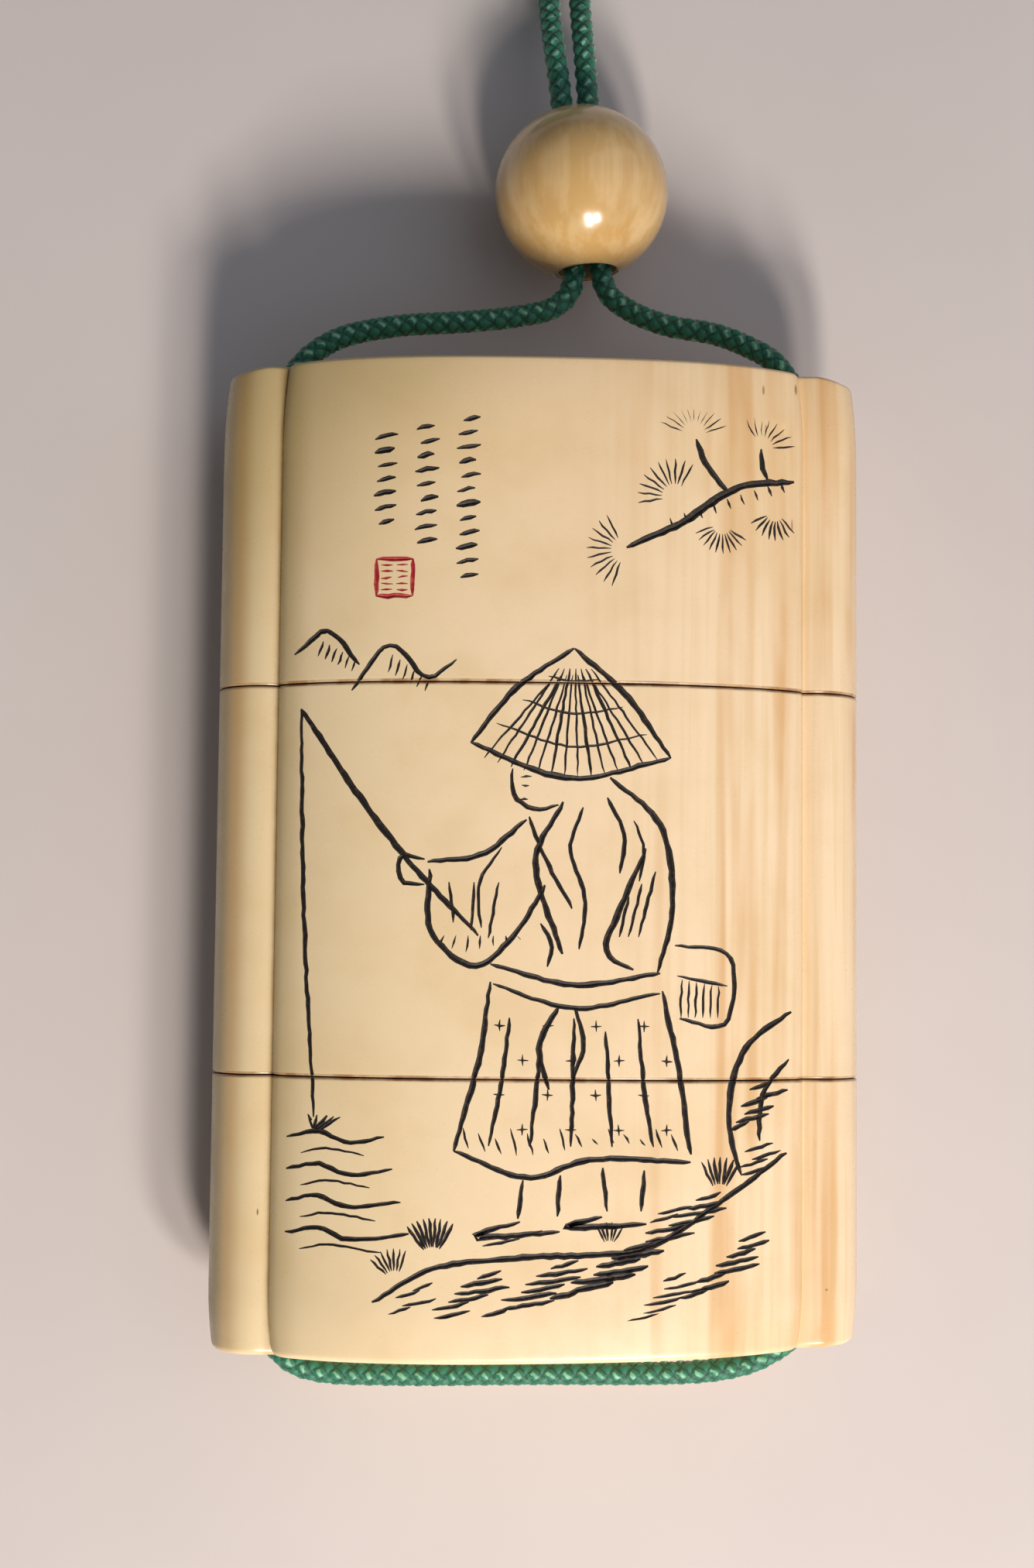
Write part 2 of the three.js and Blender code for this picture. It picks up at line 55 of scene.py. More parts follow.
def mixShares(a, b, share):
    return a + (b - a) * share


# Camera, at the angle that the case was looked at
view = {
    "place": (-8.98, -8.73, 209.99),
    "looksAlong": (0.03589, 0.07388, -0.99662),
    "up": (-0.01269, 0.99721, 0.07347),
    "lens": 55.51,
    "filmHeight": 36.0,
}


def setCamera():
    camera = bpy.data.objects.new("photoCamera", bpy.data.cameras.new("photoCamera"))
    bpy.context.collection.objects.link(camera)
    camera.data.sensor_fit = "VERTICAL"
    camera.data.sensor_height = view["filmHeight"]
    camera.data.lens = view["lens"]
    camera.data.clip_start = 0.01
    ahead = Vector(view["looksAlong"]).normalized()
    right = ahead.cross(Vector(view["up"])).normalized()
    up = right.cross(ahead)
    turn = Matrix((right, up, -ahead)).transposed()
    camera.matrix_world = Matrix.Translation(Vector(view["place"]) * mm) @ turn.to_4x4()
    bpy.context.scene.camera = camera


setCamera()
print("camera set")

# The case: three sections of one outline, a bowed panel between two side ribs
case = {
    "lidLength": 26.4,
    "middleLength": 31.3,
    "baseLength": 22.05,
    "seamGap": 0.1,
    "seamRound": 0.14,
    "seamHold": 0.34,
    "panelWidth": 42.75,
    "panelSpan": 48.9,
    "crownDepth": 10,
    "panelBow": 2.7,
    "panelShoulder": 0.5,
    "ribWidth": 5.125,
    "ribDepth": 5,
    "ribCrownOffset": 1.275,
    "grooveStep": 0.08,
    "grooveShare": 0.95,
    "panelEdgeRound": 0.65,
    "restWidth": 14,
    "lidTaper": 0.45,
    "lidTaperLength": 7,
    "lidEdgeRadius": 0.3,
    "lidEndDrop": 0.35,
    "lidEndDropFrom": 22.6,
    "lidEndDropRate": 1.8,
    "baseTaper": 0.4,
    "baseTaperLength": 5,
    "baseEdgeRadius": 0.5,
    "baseCrown": 0.3,
    "baseLean": 0.45,
    "flatSteps": 8,
    "panelSteps": 44,
    "panelEdgeSteps": 6,
    "ribInnerSteps": 8,
    "ribOuterSteps": 34,
}
inside = {
    "wallAtRib": 3.775,
    "wallAtCrown": 2.9,
    "cavityBow": 2.6,
    "cavityShoulder": 0.25,
    "riserWall": 0.9,
    "riserHeight": 6,
    "riserClearance": 0.3,
    "floorThickness": 2.2,
    "lidThickness": 2.6,
    "cutPast": 1,
    "steps": 24,
}
cord = {
    "diameter": 2,
    "pitch": 1.34,
    "strandsEachWay": 4,
    "relief": 0.26,
    "sides": 28,
    "ringStep": 0.15,
    "uvLength": 400,
    "crossShape": 0.7,
    "lengthShape": 0.35,
    "endReach": 0.35,
    "endShrink": 0.3,
}
channel = {
    "clearance": 0.7,
    "offset": 0.925,
    "sides": 48,
    "mouthReach": 1.5,
    # How far the worn mouth has widened at each depth, from inside the case to just past its end
    "mouthWear": ((-2.2, 0), (-0.6, 0), (-0.35, 0.03), (-0.15, 0.12), (0, 0.3), (0.3, 0.7)),
}
bead = {
    "diameter": 14.8,
    "passage": 0.9,
    "aside": 3.34,
    "above": 17.245,
    "turn": math.radians(4.6),
    "rimRound": 0.35,
    "segments": 96,
}
coil = {"aside": 11.64, "beyond": 35.43, "diameter": 20.8, "strandGap": 0.2}
knot = {
    "aside": 2.47,
    "below": 1.75,
    "height": 3.1,
    "wrapRadius": 2.1,
    "wraps": 2.2,
    "wrapPitch": 2.1,
    "pointsPerWrap": 16,
    "tuckShare": 0.45,
    "tailReach": 6.3,
    "tailSpread": 0.35,
    "turn": math.radians(-120),
}

halfPanel = case["panelWidth"] / 2
halfWidth = halfPanel + case["ribWidth"]
ribCrownX = halfPanel + case["ribCrownOffset"]
caseLength = case["lidLength"] + case["middleLength"] + case["baseLength"]
lidTopY = caseLength / 2
seamOneY = lidTopY - case["lidLength"]
seamTwoY = seamOneY - case["middleLength"]
baseEndY = seamTwoY - case["baseLength"]
channelX = halfPanel + channel["offset"]
channelRadius = cord["diameter"] / 2 + channel["clearance"]
beadCentre = Vector((bead["aside"], lidTopY + bead["above"], bead["diameter"] / 2))
coilCentre = Vector((beadCentre.x - coil["aside"], beadCentre.y + coil["beyond"], 0))
strandPitch = cord["diameter"] + coil["strandGap"]


def panelHeight(x, inset=0):
    share = min(1, abs(x) / (case["panelSpan"] / 2 - inset))
    return (case["crownDepth"] - inset) * (1 - share ** case["panelBow"]) ** case["panelShoulder"]


restDepth = panelHeight(case["restWidth"] / 2)


def routeFromBead(*points):
    return [beadCentre + Vector(p) for p in points]


def routeFromChannel(side, endY, *points):
    foot = Vector((side * channelX, endY, restDepth))
    return [foot + Vector((*p, 0)[:3]) for p in points]


# The cord's route, point for point as in the CAD
loopRoute = [
    *routeFromBead(
        (-1.6, 5.73, 0), (-1.04, -1.27, 0), (-0.58, -6.87, 0), (-1.04, -8.87, 0.1),
        (-2.44, -10.17, 0.3), (-5.14, -10.97, 0.6), (-9.54, -11.67, 1.1),
    ),
    *routeFromChannel(
        -1, lidTopY,
        (9.7, 4.875, -0.77), (5.2, 3.675, -0.37), (2.7, 1.975, -0.07), (1.3, 0.175), (0.3, -2.125),
        (0, -5.725), (0, -lidTopY / 2),
    ),
    *routeFromChannel(
        -1, baseEndY,
        (0, lidTopY), (0, lidTopY / 2), (0, 5.725), (0.3, 2.125), (1.4, -0.225), (2.8, -1.425),
        (4.9, -2.075), (10.3, -2.325), (channelX, -2.225),
    ),
    *routeFromChannel(
        1, baseEndY,
        (-10.3, -2.125), (-6.9, -1.825), (-4.3, -1.175), (-2.7, -0.375), (-1.4, 0.525), (-0.3, 2.725),
        (0, 6.725), (0, lidTopY / 2), (0, lidTopY),
    ),
    *routeFromChannel(
        1, lidTopY,
        (0, -lidTopY / 2), (0, -5.725), (-0.3, -2.125), (-1.2, 0.175), (-2.7, 2.275, -0.07),
        (-4.7, 3.575, -0.47), (-7.5, 4.775, -0.97),
    ),
    *routeFromBead(
        (7.26, -11.57, 0.8), (4.26, -10.27, 0.3), (2.46, -8.87, 0.1), (1.71, -6.87, 0),
        (1.28, -1.27, 0), (0.7, 5.73, 0),
    ),
]
leftLead = routeFromBead(
    (-1.64, 6.03, 0), (-1.79, 7.93, -0.02), (-2.04, 10.13, -0.25), (-2.34, 12.53, -0.9),
    (-2.59, 14.93, -1.9), (-2.74, 17.33, -3.1), (-2.74, 19.73, -4.3), (-2.62, 21.93, -5.3),
    (-2.48, 23.73, -5.95), (-2.39, 25.33, -6.28),
)
rightLead = routeFromBead(
    (0.66, 6.03, 0), (0.51, 7.93, -0.02), (0.36, 10.13, -0.25), (0.21, 12.53, -0.9),
    (0.08, 14.93, -1.9), (-0.02, 17.33, -3.1), (-0.08, 19.73, -4.3), (-0.12, 21.93, -5.3),
    (-0.14, 24.13, -6), (-0.14, 26.13, -6.32), (-0.14, 28, -6.39),
)

# Turns of the spare cord: one and a third round the coil, the last part on top, then in to the knot
turns = {
    "sweep": math.radians(480),
    "points": 64,
    "climbFrom": math.radians(262),
    "climbTo": math.radians(318),
    "low": 1.0,
    "high": 3.15,
    "innerRadius": 5.3,
    "innerSweep": math.radians(120),
    "innerPoints": 10,
}


def coiledRoute(lead, side):
    points = list(lead)
    outer = coil["diameter"] / 2 + side * strandPitch / 2
    for k in range(turns["points"]):
        angle = turns["sweep"] * k / (turns["points"] - 1)
        rise = (angle - turns["climbFrom"]) / (turns["climbTo"] - turns["climbFrom"])
        rise = min(1, max(0, rise))
        height = mixShares(turns["low"], turns["high"], rise * rise * (3 - 2 * rise))
        points.append(coilCentre + Vector((outer * math.cos(angle), outer * math.sin(angle), height)))
    handOver = coil["diameter"] / 2 - turns["innerRadius"]
    middle = coilCentre + handOver * Vector((math.cos(turns["sweep"]), math.sin(turns["sweep"]), 0))
    inner = turns["innerRadius"] + side * strandPitch / 2
    for k in range(1, turns["innerPoints"] + 1):
        angle = turns["sweep"] + turns["innerSweep"] * k / turns["innerPoints"]
        points.append(middle + Vector((inner * math.cos(angle), inner * math.sin(angle), turns["high"])))
    return points


def curveThrough(points, step):
    # A smooth curve through the points (centripetal Catmull-Rom), cut into even steps
    ends = [2 * points[0] - points[1], *points, 2 * points[-1] - points[-2]]
    fine = []
    for p0, p1, p2, p3 in zip(ends, ends[1:], ends[2:], ends[3:]):
        t1 = math.sqrt((p1 - p0).length)
        t2 = t1 + math.sqrt((p2 - p1).length)
        t3 = t2 + math.sqrt((p3 - p2).length)
        pieces = max(4, math.ceil((p2 - p1).length / (0.5 * step)))
        for j in range(pieces):
            t = mixShares(t1, t2, j / pieces)
            a1 = p0.lerp(p1, t / t1)
            a2 = p1.lerp(p2, (t - t1) / (t2 - t1))
            a3 = p2.lerp(p3, (t - t2) / (t3 - t2))
            b1, b2 = a1.lerp(a2, t / t2), a2.lerp(a3, (t - t1) / (t3 - t1))
            fine.append(b1.lerp(b2, (t - t1) / (t2 - t1)))
    fine.append(points[-1])
    distances = [0.0]
    for a, b in zip(fine, fine[1:]):
        distances.append(distances[-1] + (b - a).length)
    count = math.ceil(distances[-1] / step)
    even, spot = [], 0
    for k in range(count + 1):
        goal = distances[-1] * k / count
        while spot < len(fine) - 2 and distances[spot + 1] < goal:
            spot += 1
        share = (goal - distances[spot]) / (distances[spot + 1] - distances[spot])
        even.append(fine[spot].lerp(fine[spot + 1], min(1, share)))
    return even


def braidHeight(along, around):
    # Height from 0 to 1 of the braid, where the yarns that lean one way pass over the others in turn
    a = cord["strandsEachWay"] * around + along / cord["pitch"]
    b = cord["strandsEachWay"] * around - along / cord["pitch"]
    across, length = a % 1, b % 1
    if (math.floor(a) + math.floor(b)) % 2:
        across, length = length, across
    crosswise = math.sin(math.pi * across) ** cord["crossShape"]
    return crosswise * math.sin(math.pi * length) ** cord["lengthShape"]


def addBraidedCord(name, points):
    centres = curveThrough(points, cord["ringStep"])
    radius = cord["diameter"] / 2
    sides = cord["sides"]
    side = Vector((0, 0, 1))
    vertices = []
    along = 0.0
    distances = []
    for k, centre in enumerate(centres):
        ahead = (centres[min(k + 1, len(centres) - 1)] - centres[max(k - 1, 0)]).normalized()
        side = (side - side.dot(ahead) * ahead).normalized()
        other = ahead.cross(side)
        if k:
            along += (centre - centres[k - 1]).length
        distances.append(along)
        toEnd = min(1, min(k, len(centres) - 1 - k) * cord["ringStep"] / (cord["endReach"] * radius))
        rounding = math.sqrt(1 - cord["endShrink"] * (1 - toEnd) ** 2)
        for j in range(sides):
            angle = 2 * math.pi * j / sides
            reach = (radius - cord["relief"] * (1 - braidHeight(along, j / sides))) * rounding
            vertices.append((centre + reach * (math.cos(angle) * side + math.sin(angle) * other)) * mm)
    faces, places = [], []
    for r in range(len(centres) - 1):
        for j in range(sides):
            next = (j + 1) % sides
            faces.append((r * sides + j, r * sides + next, (r + 1) * sides + next, (r + 1) * sides + j))
            low, high = distances[r] / cord["uvLength"], distances[r + 1] / cord["uvLength"]
            places += [(low, j / sides), (low, (j + 1) / sides), (high, (j + 1) / sides), (high, j / sides)]
    first, last = len(vertices), (len(centres) - 1) * sides
    vertices += [centres[0] * mm, centres[-1] * mm]
    for j in range(sides):
        next = (j + 1) % sides
        faces += [(first, next, j), (first + 1, last + j, last + next)]
        places += [(0, 0)] * 3 + [(along / cord["uvLength"], 0)] * 3
    mesh = bpy.data.meshes.new(name)
    mesh.from_pydata(vertices, [], faces)
    layer = mesh.uv_layers.new(name="alongCord")
    for spot, place in zip(layer.data, places):
        spot.uv = place
    mesh.shade_smooth()
    piece = bpy.data.objects.new(name, mesh)
    bpy.context.collection.objects.link(piece)
    return piece, [c * mm for c in centres]


def lengthOf(path):
    return sum((b - a).length for a, b in zip(path, path[1:]))


caseCord, casePath = addBraidedCord("caseCord", loopRoute)
leftStrand, leftPath = addBraidedCord("leftStrand", coiledRoute(leftLead, -1))
rightStrand, rightPath = addBraidedCord("rightStrand", coiledRoute(rightLead, 1))
print("cords laid:", [round(lengthOf(p), 4) for p in (casePath, leftPath, rightPath)])


# The knot: a wrapped barrel, with the cord's two cut ends standing out of it
def knotPlace(x, y, z):
    turned = Matrix.Rotation(knot["turn"], 3, "Z") @ Vector((x, y, 0))
    centre = coilCentre + Vector((-knot["aside"], -knot["below"], knot["height"]))
    return centre + turned + Vector((0, 0, z))


def wrapRoute():
    points = []
    count = math.ceil(knot["wraps"] * knot["pointsPerWrap"])
    for k in range(count + 1):
        angle = 2 * math.pi * knot["wraps"] * k / count
        y = knot["wraps"] * knot["wrapPitch"] * (k / count - 0.5)
        tuck = math.sin(math.pi / 2 * min(1, 4 * min(k, count - k) / knot["pointsPerWrap"]))
        reach = knot["wrapRadius"] * mixShares(knot["tuckShare"], 1, tuck)
        points.append(knotPlace(reach * math.cos(angle), y, reach * math.sin(angle)))
    return points


def tailRoute(side):
    reach = knot["tailReach"]
    lean = side * knot["tailSpread"]
    return [
        knotPlace(reach * share * math.sin(lean * share), reach * share, -0.5 * share ** 2)
        for share in (0.1, 0.35, 0.6, 0.8, 1.0)
    ]


def joinPieces(name, pieces):
    bpy.ops.object.select_all(action="DESELECT")
    for piece in pieces:
        piece.select_set(True)
    bpy.context.view_layer.objects.active = pieces[0]
    bpy.ops.object.join()
    joined = bpy.context.view_layer.objects.active
    joined.name = name
    bpy.ops.object.select_all(action="DESELECT")
    return joined


endKnot = joinPieces("endKnot", [
    addBraidedCord("wraps", wrapRoute())[0],
    addBraidedCord("tailOne", tailRoute(-1))[0],
    addBraidedCord("tailTwo", tailRoute(1))[0],
])
print("knot tied")

for piece, nodes in (
    (caseCord, ["cord_loop"]),
    (leftStrand, ["strand_left", "cord_coil"]),
    (rightStrand, ["strand_right", "cord_coil"]),
    (endKnot, ["cord_knot"]),
):
    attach(piece, "root")
    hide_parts(*nodes)


# What a node is set to where nothing else is asked for
usualSettings = {
    "Math": {"operation": "MULTIPLY"},
    "MapRange": {"interpolation_type": "SMOOTHSTEP"},
    "Mix": {"data_type": "RGBA"},
}


def addNode(material, kind, values=(), **settings):
    # Values fill the node's open sockets in their order, or by name from a dictionary. A node or a
    # socket that is given as a value is linked.
    node = material.node_tree.nodes.new("ShaderNode" + kind)
    for name, value in {**usualSettings.get(kind, {}), **settings}.items():
        setattr(node, name, value)
    sockets = [socket for socket in node.inputs if socket.enabled]
    if isinstance(values, dict):
        sockets, values = [node.inputs[name] for name in values], list(values.values())
    for socket, value in zip(sockets, values):
        if isinstance(value, bpy.types.Node):
            value = next(output for output in value.outputs if output.enabled)
        if isinstance(value, bpy.types.NodeSocket):
            material.node_tree.links.new(value, socket)
        else:
            socket.default_value = value
    return node


def startMaterial(name):
    # A bare material, what adds its nodes, and the place on the piece in metres and in millimetres
    material = bpy.data.materials.new(name)
    material.use_nodes = True
    material.node_tree.nodes.clear()
    add = partial(addNode, material)
    inMetres = add("TexCoord").outputs["Object"]
    return material, add, inMetres, add("Mapping", {"Vector": inMetres, "Scale": (1000, 1000, 1000)})


def finishMaterial(material, add, sockets):
    add("OutputMaterial", [add("BsdfPrincipled", sockets)])
    return material


# Elephant ivory, sawn, carved and hand-polished: a close cream body with honey grain lines along the
# tusk, strongest on the right, buff to greenish brown on the left, where staining is mixed with painted
# shade on the side away from the light, and a little dirt left in the left groove and along the seams.
# A hard wax-like gloss, uneven from handling.
ivoryLook = {
    "cream": "#f4dab5",
    # Colour for staining mixed with painted shade on the left, also used for the darker upper left corner
    "buff": "#ecd5ab",
    "cloud": "#dfc08c",
    "yellowed": "#dfb878",
    "streak": "#d2994f",
    "stain": "#96803f",
    "olive": "#8f8a5c",
    # Staining mixed with painted shade, on the outside of the left rib that faces away from the light
    "golden": "#c8944a",
    "dirt": "#86582f",
    "grooveDirt": "#a8753c",
    "nick": "#8a5a2c",
    "grainWidth": 1.35,
    "roughness": (0.24, 0.38),
    # Where a tone begins and ends, across or along the case in millimetres, and its share at both ends
    "creamAcross": (-21, 5, 0, 1),
    "grainAcross": (-2, 19, 0, 1),
    "yellowedAlong": (12, 42, 0, 0.28),
    # Left shoulder, turned from the light: staining mixed with painted shade
    "shoulderAcross": (-18.4, -21.2, 0, 0.42),
    "crownAcross": (-21.3, -22, 1, 0.36),
    "stainAndShadeAlong": (-12, 34, 0.9, 1.3),
    "goldenAcross": (-23.4, -24.8, 0, 1),
    "goldenAlong": (-45, 20, 0.28, 0.5),
    "oliveStainAndShadeAcross": (-24.8, -26, 0, 0.55),
    "cornerSlant": 0.9,
    "cornerAlong": (34, 56, 0, 0.42),
    "dirtFromGroove": (0.5, 0.02, 0, 0.25),
    "dirtFromSeam": (0.3, 0.15, 0, 0.9),
    # Nicks and dark grain marks: place on the front, half of the width and of the length, and depth of tone
    "nicks": (
        ((17.7, 37.9, 17.5), 0.14, 0.55, 0.7), ((20.6, 38.4, 16), 0.16, 0.6, 0.8),
        ((17.9, 34.7, 17.4), 0.12, 0.5, 0.6), ((20.2, 27, 16.3), 0.12, 0.7, 0.6),
        ((-22.3, -28.7, 14.8), 0.1, 0.35, 0.9), ((23.3, -34.6, 14.8), 0.14, 0.14, 0.7),
    ),
    "sockets": {
        "IOR": 1.54, "Subsurface Weight": 0.12, "Subsurface Radius": (1.0, 0.6, 0.35),
        "Subsurface Scale": 0.0008,
    },
}


def makePolishedIvory():
    look = ivoryLook
    material, add, inMetres, place = startMaterial("polishedIvory")
    x, y, _ = add("SeparateXYZ", [place]).outputs
    clouds = add("MapRange", [add("TexNoise", [place, 0.1, 3, 0.6]), 0.4, 0.72, 0, 0.4])
    # Grain lines that run the length of the tusk, broken where it was cut across them
    lengthwise, acrossTheCut, finer = [
        add("Mapping", {"Vector": inMetres, "Scale": scale})
        for scale in ((1000, 30, 400), (1000, 300, 1000), (1000, 20, 500))
    ]
    rightward = add("MapRange", [x, *look["grainAcross"]])
    grain = add("TexNoise", [lengthwise, 0.8 / look["grainWidth"], 2, 0.5, 2, 0.25])
    breaks = add("MapRange", [add("TexNoise", [acrossTheCut, 0.3, 2, 0.5]), 0.3, 0.6, 0.35, 1])
    streaks = add("Math", [add("MapRange", [grain, 0.42, 0.72, 0, 0.68]), breaks])
    fineGrain = add("TexNoise", [finer, 2.4 / look["grainWidth"], 2, 0.5])
    fineLines = add("MapRange", [fineGrain, 0.45, 0.7, 0, 0.4])
    # Staining mixed with painted shade lies on the left shoulder, which faces away from the light, and on
    # the outside of the left rib; the rib's crown, where the light falls, is left lighter
    shoulder = add("MapRange", [x, *look["shoulderAcross"]])
    stain = add("Math", [shoulder, add("MapRange", [x, *look["crownAcross"]])])
    golden = add("MapRange", [x, *look["goldenAcross"]])
    # The panel is also painted darker towards its upper left corner
    slant = add("Math", [y, add("Math", [x, look["cornerSlant"]])], operation="SUBTRACT")
    patches = add("MapRange", [add("TexNoise", [place, 0.5, 4, 0.6]), 0.35, 0.7])
    fromGroove = add("Math", [add("Math", [x, halfPanel], operation="ADD")], operation="ABSOLUTE")
    fromSeams = [
        add("Math", [add("Math", [y, seamY], operation="SUBTRACT")], operation="ABSOLUTE")
        for seamY in (seamOneY, seamTwoY)
    ]
    fromSeam = add("Math", fromSeams, operation="MINIMUM")
    seamDirt = add("MapRange", [fromSeam, *look["dirtFromSeam"]])
    layers = [
        (clouds, "cloud"),
        (add("MapRange", [y, *look["yellowedAlong"]]), "yellowed"),
        (add("Math", [streaks, rightward]), "streak"),
        (add("Math", [fineLines, rightward]), "cloud"),
        # Staining and painted shade over the left shoulder and rib, stronger towards the top
        (add("Math", [stain, add("MapRange", [y, *look["stainAndShadeAlong"]])]), "stain"),
        (add("Math", [golden, add("MapRange", [y, *look["goldenAlong"]])]), "golden"),
        # The outside of the left rib: staining mixed with painted shade
        (add("MapRange", [x, *look["oliveStainAndShadeAcross"]]), "olive"),
        (add("MapRange", [slant, *look["cornerAlong"]]), "stain"),
        (add("Math", [add("MapRange", [fromGroove, *look["dirtFromGroove"]]), patches]), "grooveDirt"),
        (add("Math", [seamDirt, add("MapRange", [patches, 0, 1, 0.55, 1])]), "dirt"),
    ]
    for centre, halfAcross, halfAlong, tone in look["nicks"]:
        scale = (1 / halfAcross, 1 / halfAlong, 0.2)
        offset = [-p * k for p, k in zip(centre, scale)]
        local = add("Mapping", {"Vector": place, "Scale": scale, "Location": offset})
        away = add("VectorMath", [local], operation="LENGTH")
        layers.append((add("MapRange", [away, 1, 0.4, 0, tone]), "nick"))
    leftToMiddle = add("MapRange", [x, *look["creamAcross"]])
    colour = add("Mix", [leftToMiddle, toLinear(look["buff"]), toLinear(look["cream"])])
    for share, tone in layers:
        colour = add("Mix", [share, colour, toLinear(look[tone])])
    gloss = add("MapRange", [add("TexNoise", [place, 0.35, 4, 0.6]), 0.3, 0.7, *look["roughness"]])
    waves = add("TexNoise", [place, 0.22, 2, 0.5])
    bump = add("Bump", {"Strength": 0.25, "Distance": 0.00006, "Height": waves})
    return finishMaterial(material, add, {
        "Base Color": colour, "Roughness": gloss, "Normal": bump, **look["sockets"],
    })


# Two tones that drift into each other. Carbon ink rubbed into the cuts and wiped off is near black and
# dull, and browner where it is thin. Cinnabar red is rubbed into the seal's cuts in the same way.
fills = {
    "inkFill": {
        "full": "#1d1714", "thin": "#5a4028", "noise": (2.4, 3, 0.6), "range": (0.5, 0.75, 0, 0.7),
        "roughness": 0.62,
    },
    "sealRed": {
        "full": "#a5202c", "thin": "#c9604e", "noise": (1.8, 3, 0.6), "range": (0.45, 0.7, 0, 0.6),
        "roughness": 0.6,
    },
}


def makeMottled(name, look):
    material, add, _, place = startMaterial(name)
    share = add("MapRange", [add("TexNoise", [place, *look["noise"]]), *look["range"]])
    colour = add("Mix", [share, toLinear(look["full"]), toLinear(look["thin"])])
    return finishMaterial(material, add, {"Base Color": colour, "Roughness": look["roughness"]})


# The bead: older ivory, turned and worn to a high gloss by the cord and the fingers, honey-coloured,
# with faint lines along its bore
beadLook = {
    "honey": "#cfa86c",
    "light": "#e2c592",
    "deep": "#a87c40",
    "sockets": {
        "IOR": 1.54, "Roughness": 0.2, "Coat Weight": 0.5, "Coat Roughness": 0.07,
        "Subsurface Weight": 0.12, "Subsurface Radius": (1.0, 0.55, 0.3), "Subsurface Scale": 0.0008,
    },
}


def makeTurnedBeadIvory():
    look = beadLook
    material, add, inMetres, place = startMaterial("turnedBeadIvory")
    alongBore = add("Mapping", {"Vector": inMetres, "Scale": (1000, 40, 1000)})
    lines = add("MapRange", [add("TexNoise", [alongBore, 0.8, 3, 0.6]), 0.38, 0.66, 0, 0.5])
    broad = add("MapRange", [add("TexNoise", [place, 0.12, 3, 0.6]), 0.35, 0.7, 0, 0.35])
    colour = add("Mix", [lines, toLinear(look["honey"]), toLinear(look["light"])])
    colour = add("Mix", [broad, colour, toLinear(look["deep"])])
    return finishMaterial(material, add, {"Base Color": colour, **look["sockets"]})


# Dyed silk, round-braided from eight groups of fine yarn: deep green painted as shade where the groups dive
# under each other, and pale flecks on the groups of one set that come to the top, partly paler yarn and
# partly painted highlight. A soft sheen without gloss.
silkLook = {
    # Painted shade in the gaps between the groups
    "gap": "#0d3f2e",
    "green": "#23765a",
    # Partly paler yarn, partly painted highlight along the top of a group
    "paleYarnAndHighlight": "#8fcbab",
    "paleYarnAndHighlightShare": 0.9,
    "sockets": {"Roughness": 0.5, "Sheen Weight": 0.4, "Sheen Roughness": 0.4},
}


def makeBraidedSilk():
    look = silkLook
    material, add, _, place = startMaterial("braidedSilk")
    mapX, mapY, _ = add("SeparateXYZ", [add("UVMap", uv_map="alongCord")]).outputs
    along = add("Math", [mapX, cord["uvLength"] / cord["pitch"]])
    around = add("Math", [mapY, cord["strandsEachWay"]])
    # The groups aren't quite even
    unevenness = add("TexNoise", [place, 1.4, 2, 0.5])
    sway = add("MapRange", [unevenness, 0.25, 0.75, -0.12, 0.12])
    # One set of groups counts up along the cord and the other down, and the chessboard of both says which
    # lies on top
    counts, floors, fromMiddles = [], [], []
    for operation in ("ADD", "SUBTRACT"):
        counts.append(add("Math", [
            add("Math", [around, along], operation=operation), sway,
        ], operation=operation))
        floors.append(add("Math", [counts[-1]], operation="FLOOR"))
        fromMiddle = add("Math", [add("Math", [counts[-1]], operation="FRACT"), 0.5], operation="SUBTRACT")
        fromMiddles.append(add("Math", [fromMiddle], operation="ABSOLUTE"))
    leaning = add("Math", [add("Math", floors, operation="ADD"), 2], operation="FLOORED_MODULO")
    # How far from the middle of the group on top: along it, and across it
    lengthwise, crosswise = fromMiddles
    # Painted shade: darker green where the groups dive under each other
    paintedGapShade = add("MapRange", [add("Math", fromMiddles, operation="MAXIMUM"), 0.32, 0.5, 0, 0.85])
    # Pale flecks along the middle of each top group of one set: partly paler yarn, partly painted highlight
    paleYarnAndHighlight = add("MapRange", [lengthwise, 0.42, 0.26, 0, look["paleYarnAndHighlightShare"]])
    for factor in (
        leaning, add("MapRange", [crosswise, 0.2, 0.08]), add("MapRange", [unevenness, 0.35, 0.65, 0.5, 1]),
    ):
        paleYarnAndHighlight = add("Math", [paleYarnAndHighlight, factor])
    colour = add("Mix", [paintedGapShade, toLinear(look["green"]), toLinear(look["gap"])])
    colour = add("Mix", [paleYarnAndHighlight, colour, toLinear(look["paleYarnAndHighlight"])])
    # Single filaments, drawn 0.12 mm apart so that they still show
    filaments = add("TexNoise", [place, 8, 2, 0.6])
    bump = add("Bump", {"Strength": 0.35, "Distance": 0.00008, "Height": filaments})
    return finishMaterial(material, add, {"Base Color": colour, "Normal": bump, **look["sockets"]})


finishes = [makePolishedIvory(), *[makeMottled(name, look) for name, look in fills.items()]]
silk = makeBraidedSilk()
for piece in (caseCord, leftStrand, rightStrand, endKnot):
    piece.data.materials.append(silk)
print("materials mixed")


def keepAll(body):
    # Every section and its cutting tools share these three finishes, so that a cut keeps its own
    for finish in finishes:
        body.data.materials.append(finish)


def faceOutwards():
    bpy.ops.object.mode_set(mode="EDIT")
    bpy.ops.mesh.select_all(action="SELECT")
    bpy.ops.mesh.normals_make_consistent(inside=False)
    bpy.ops.object.mode_set(mode="OBJECT")


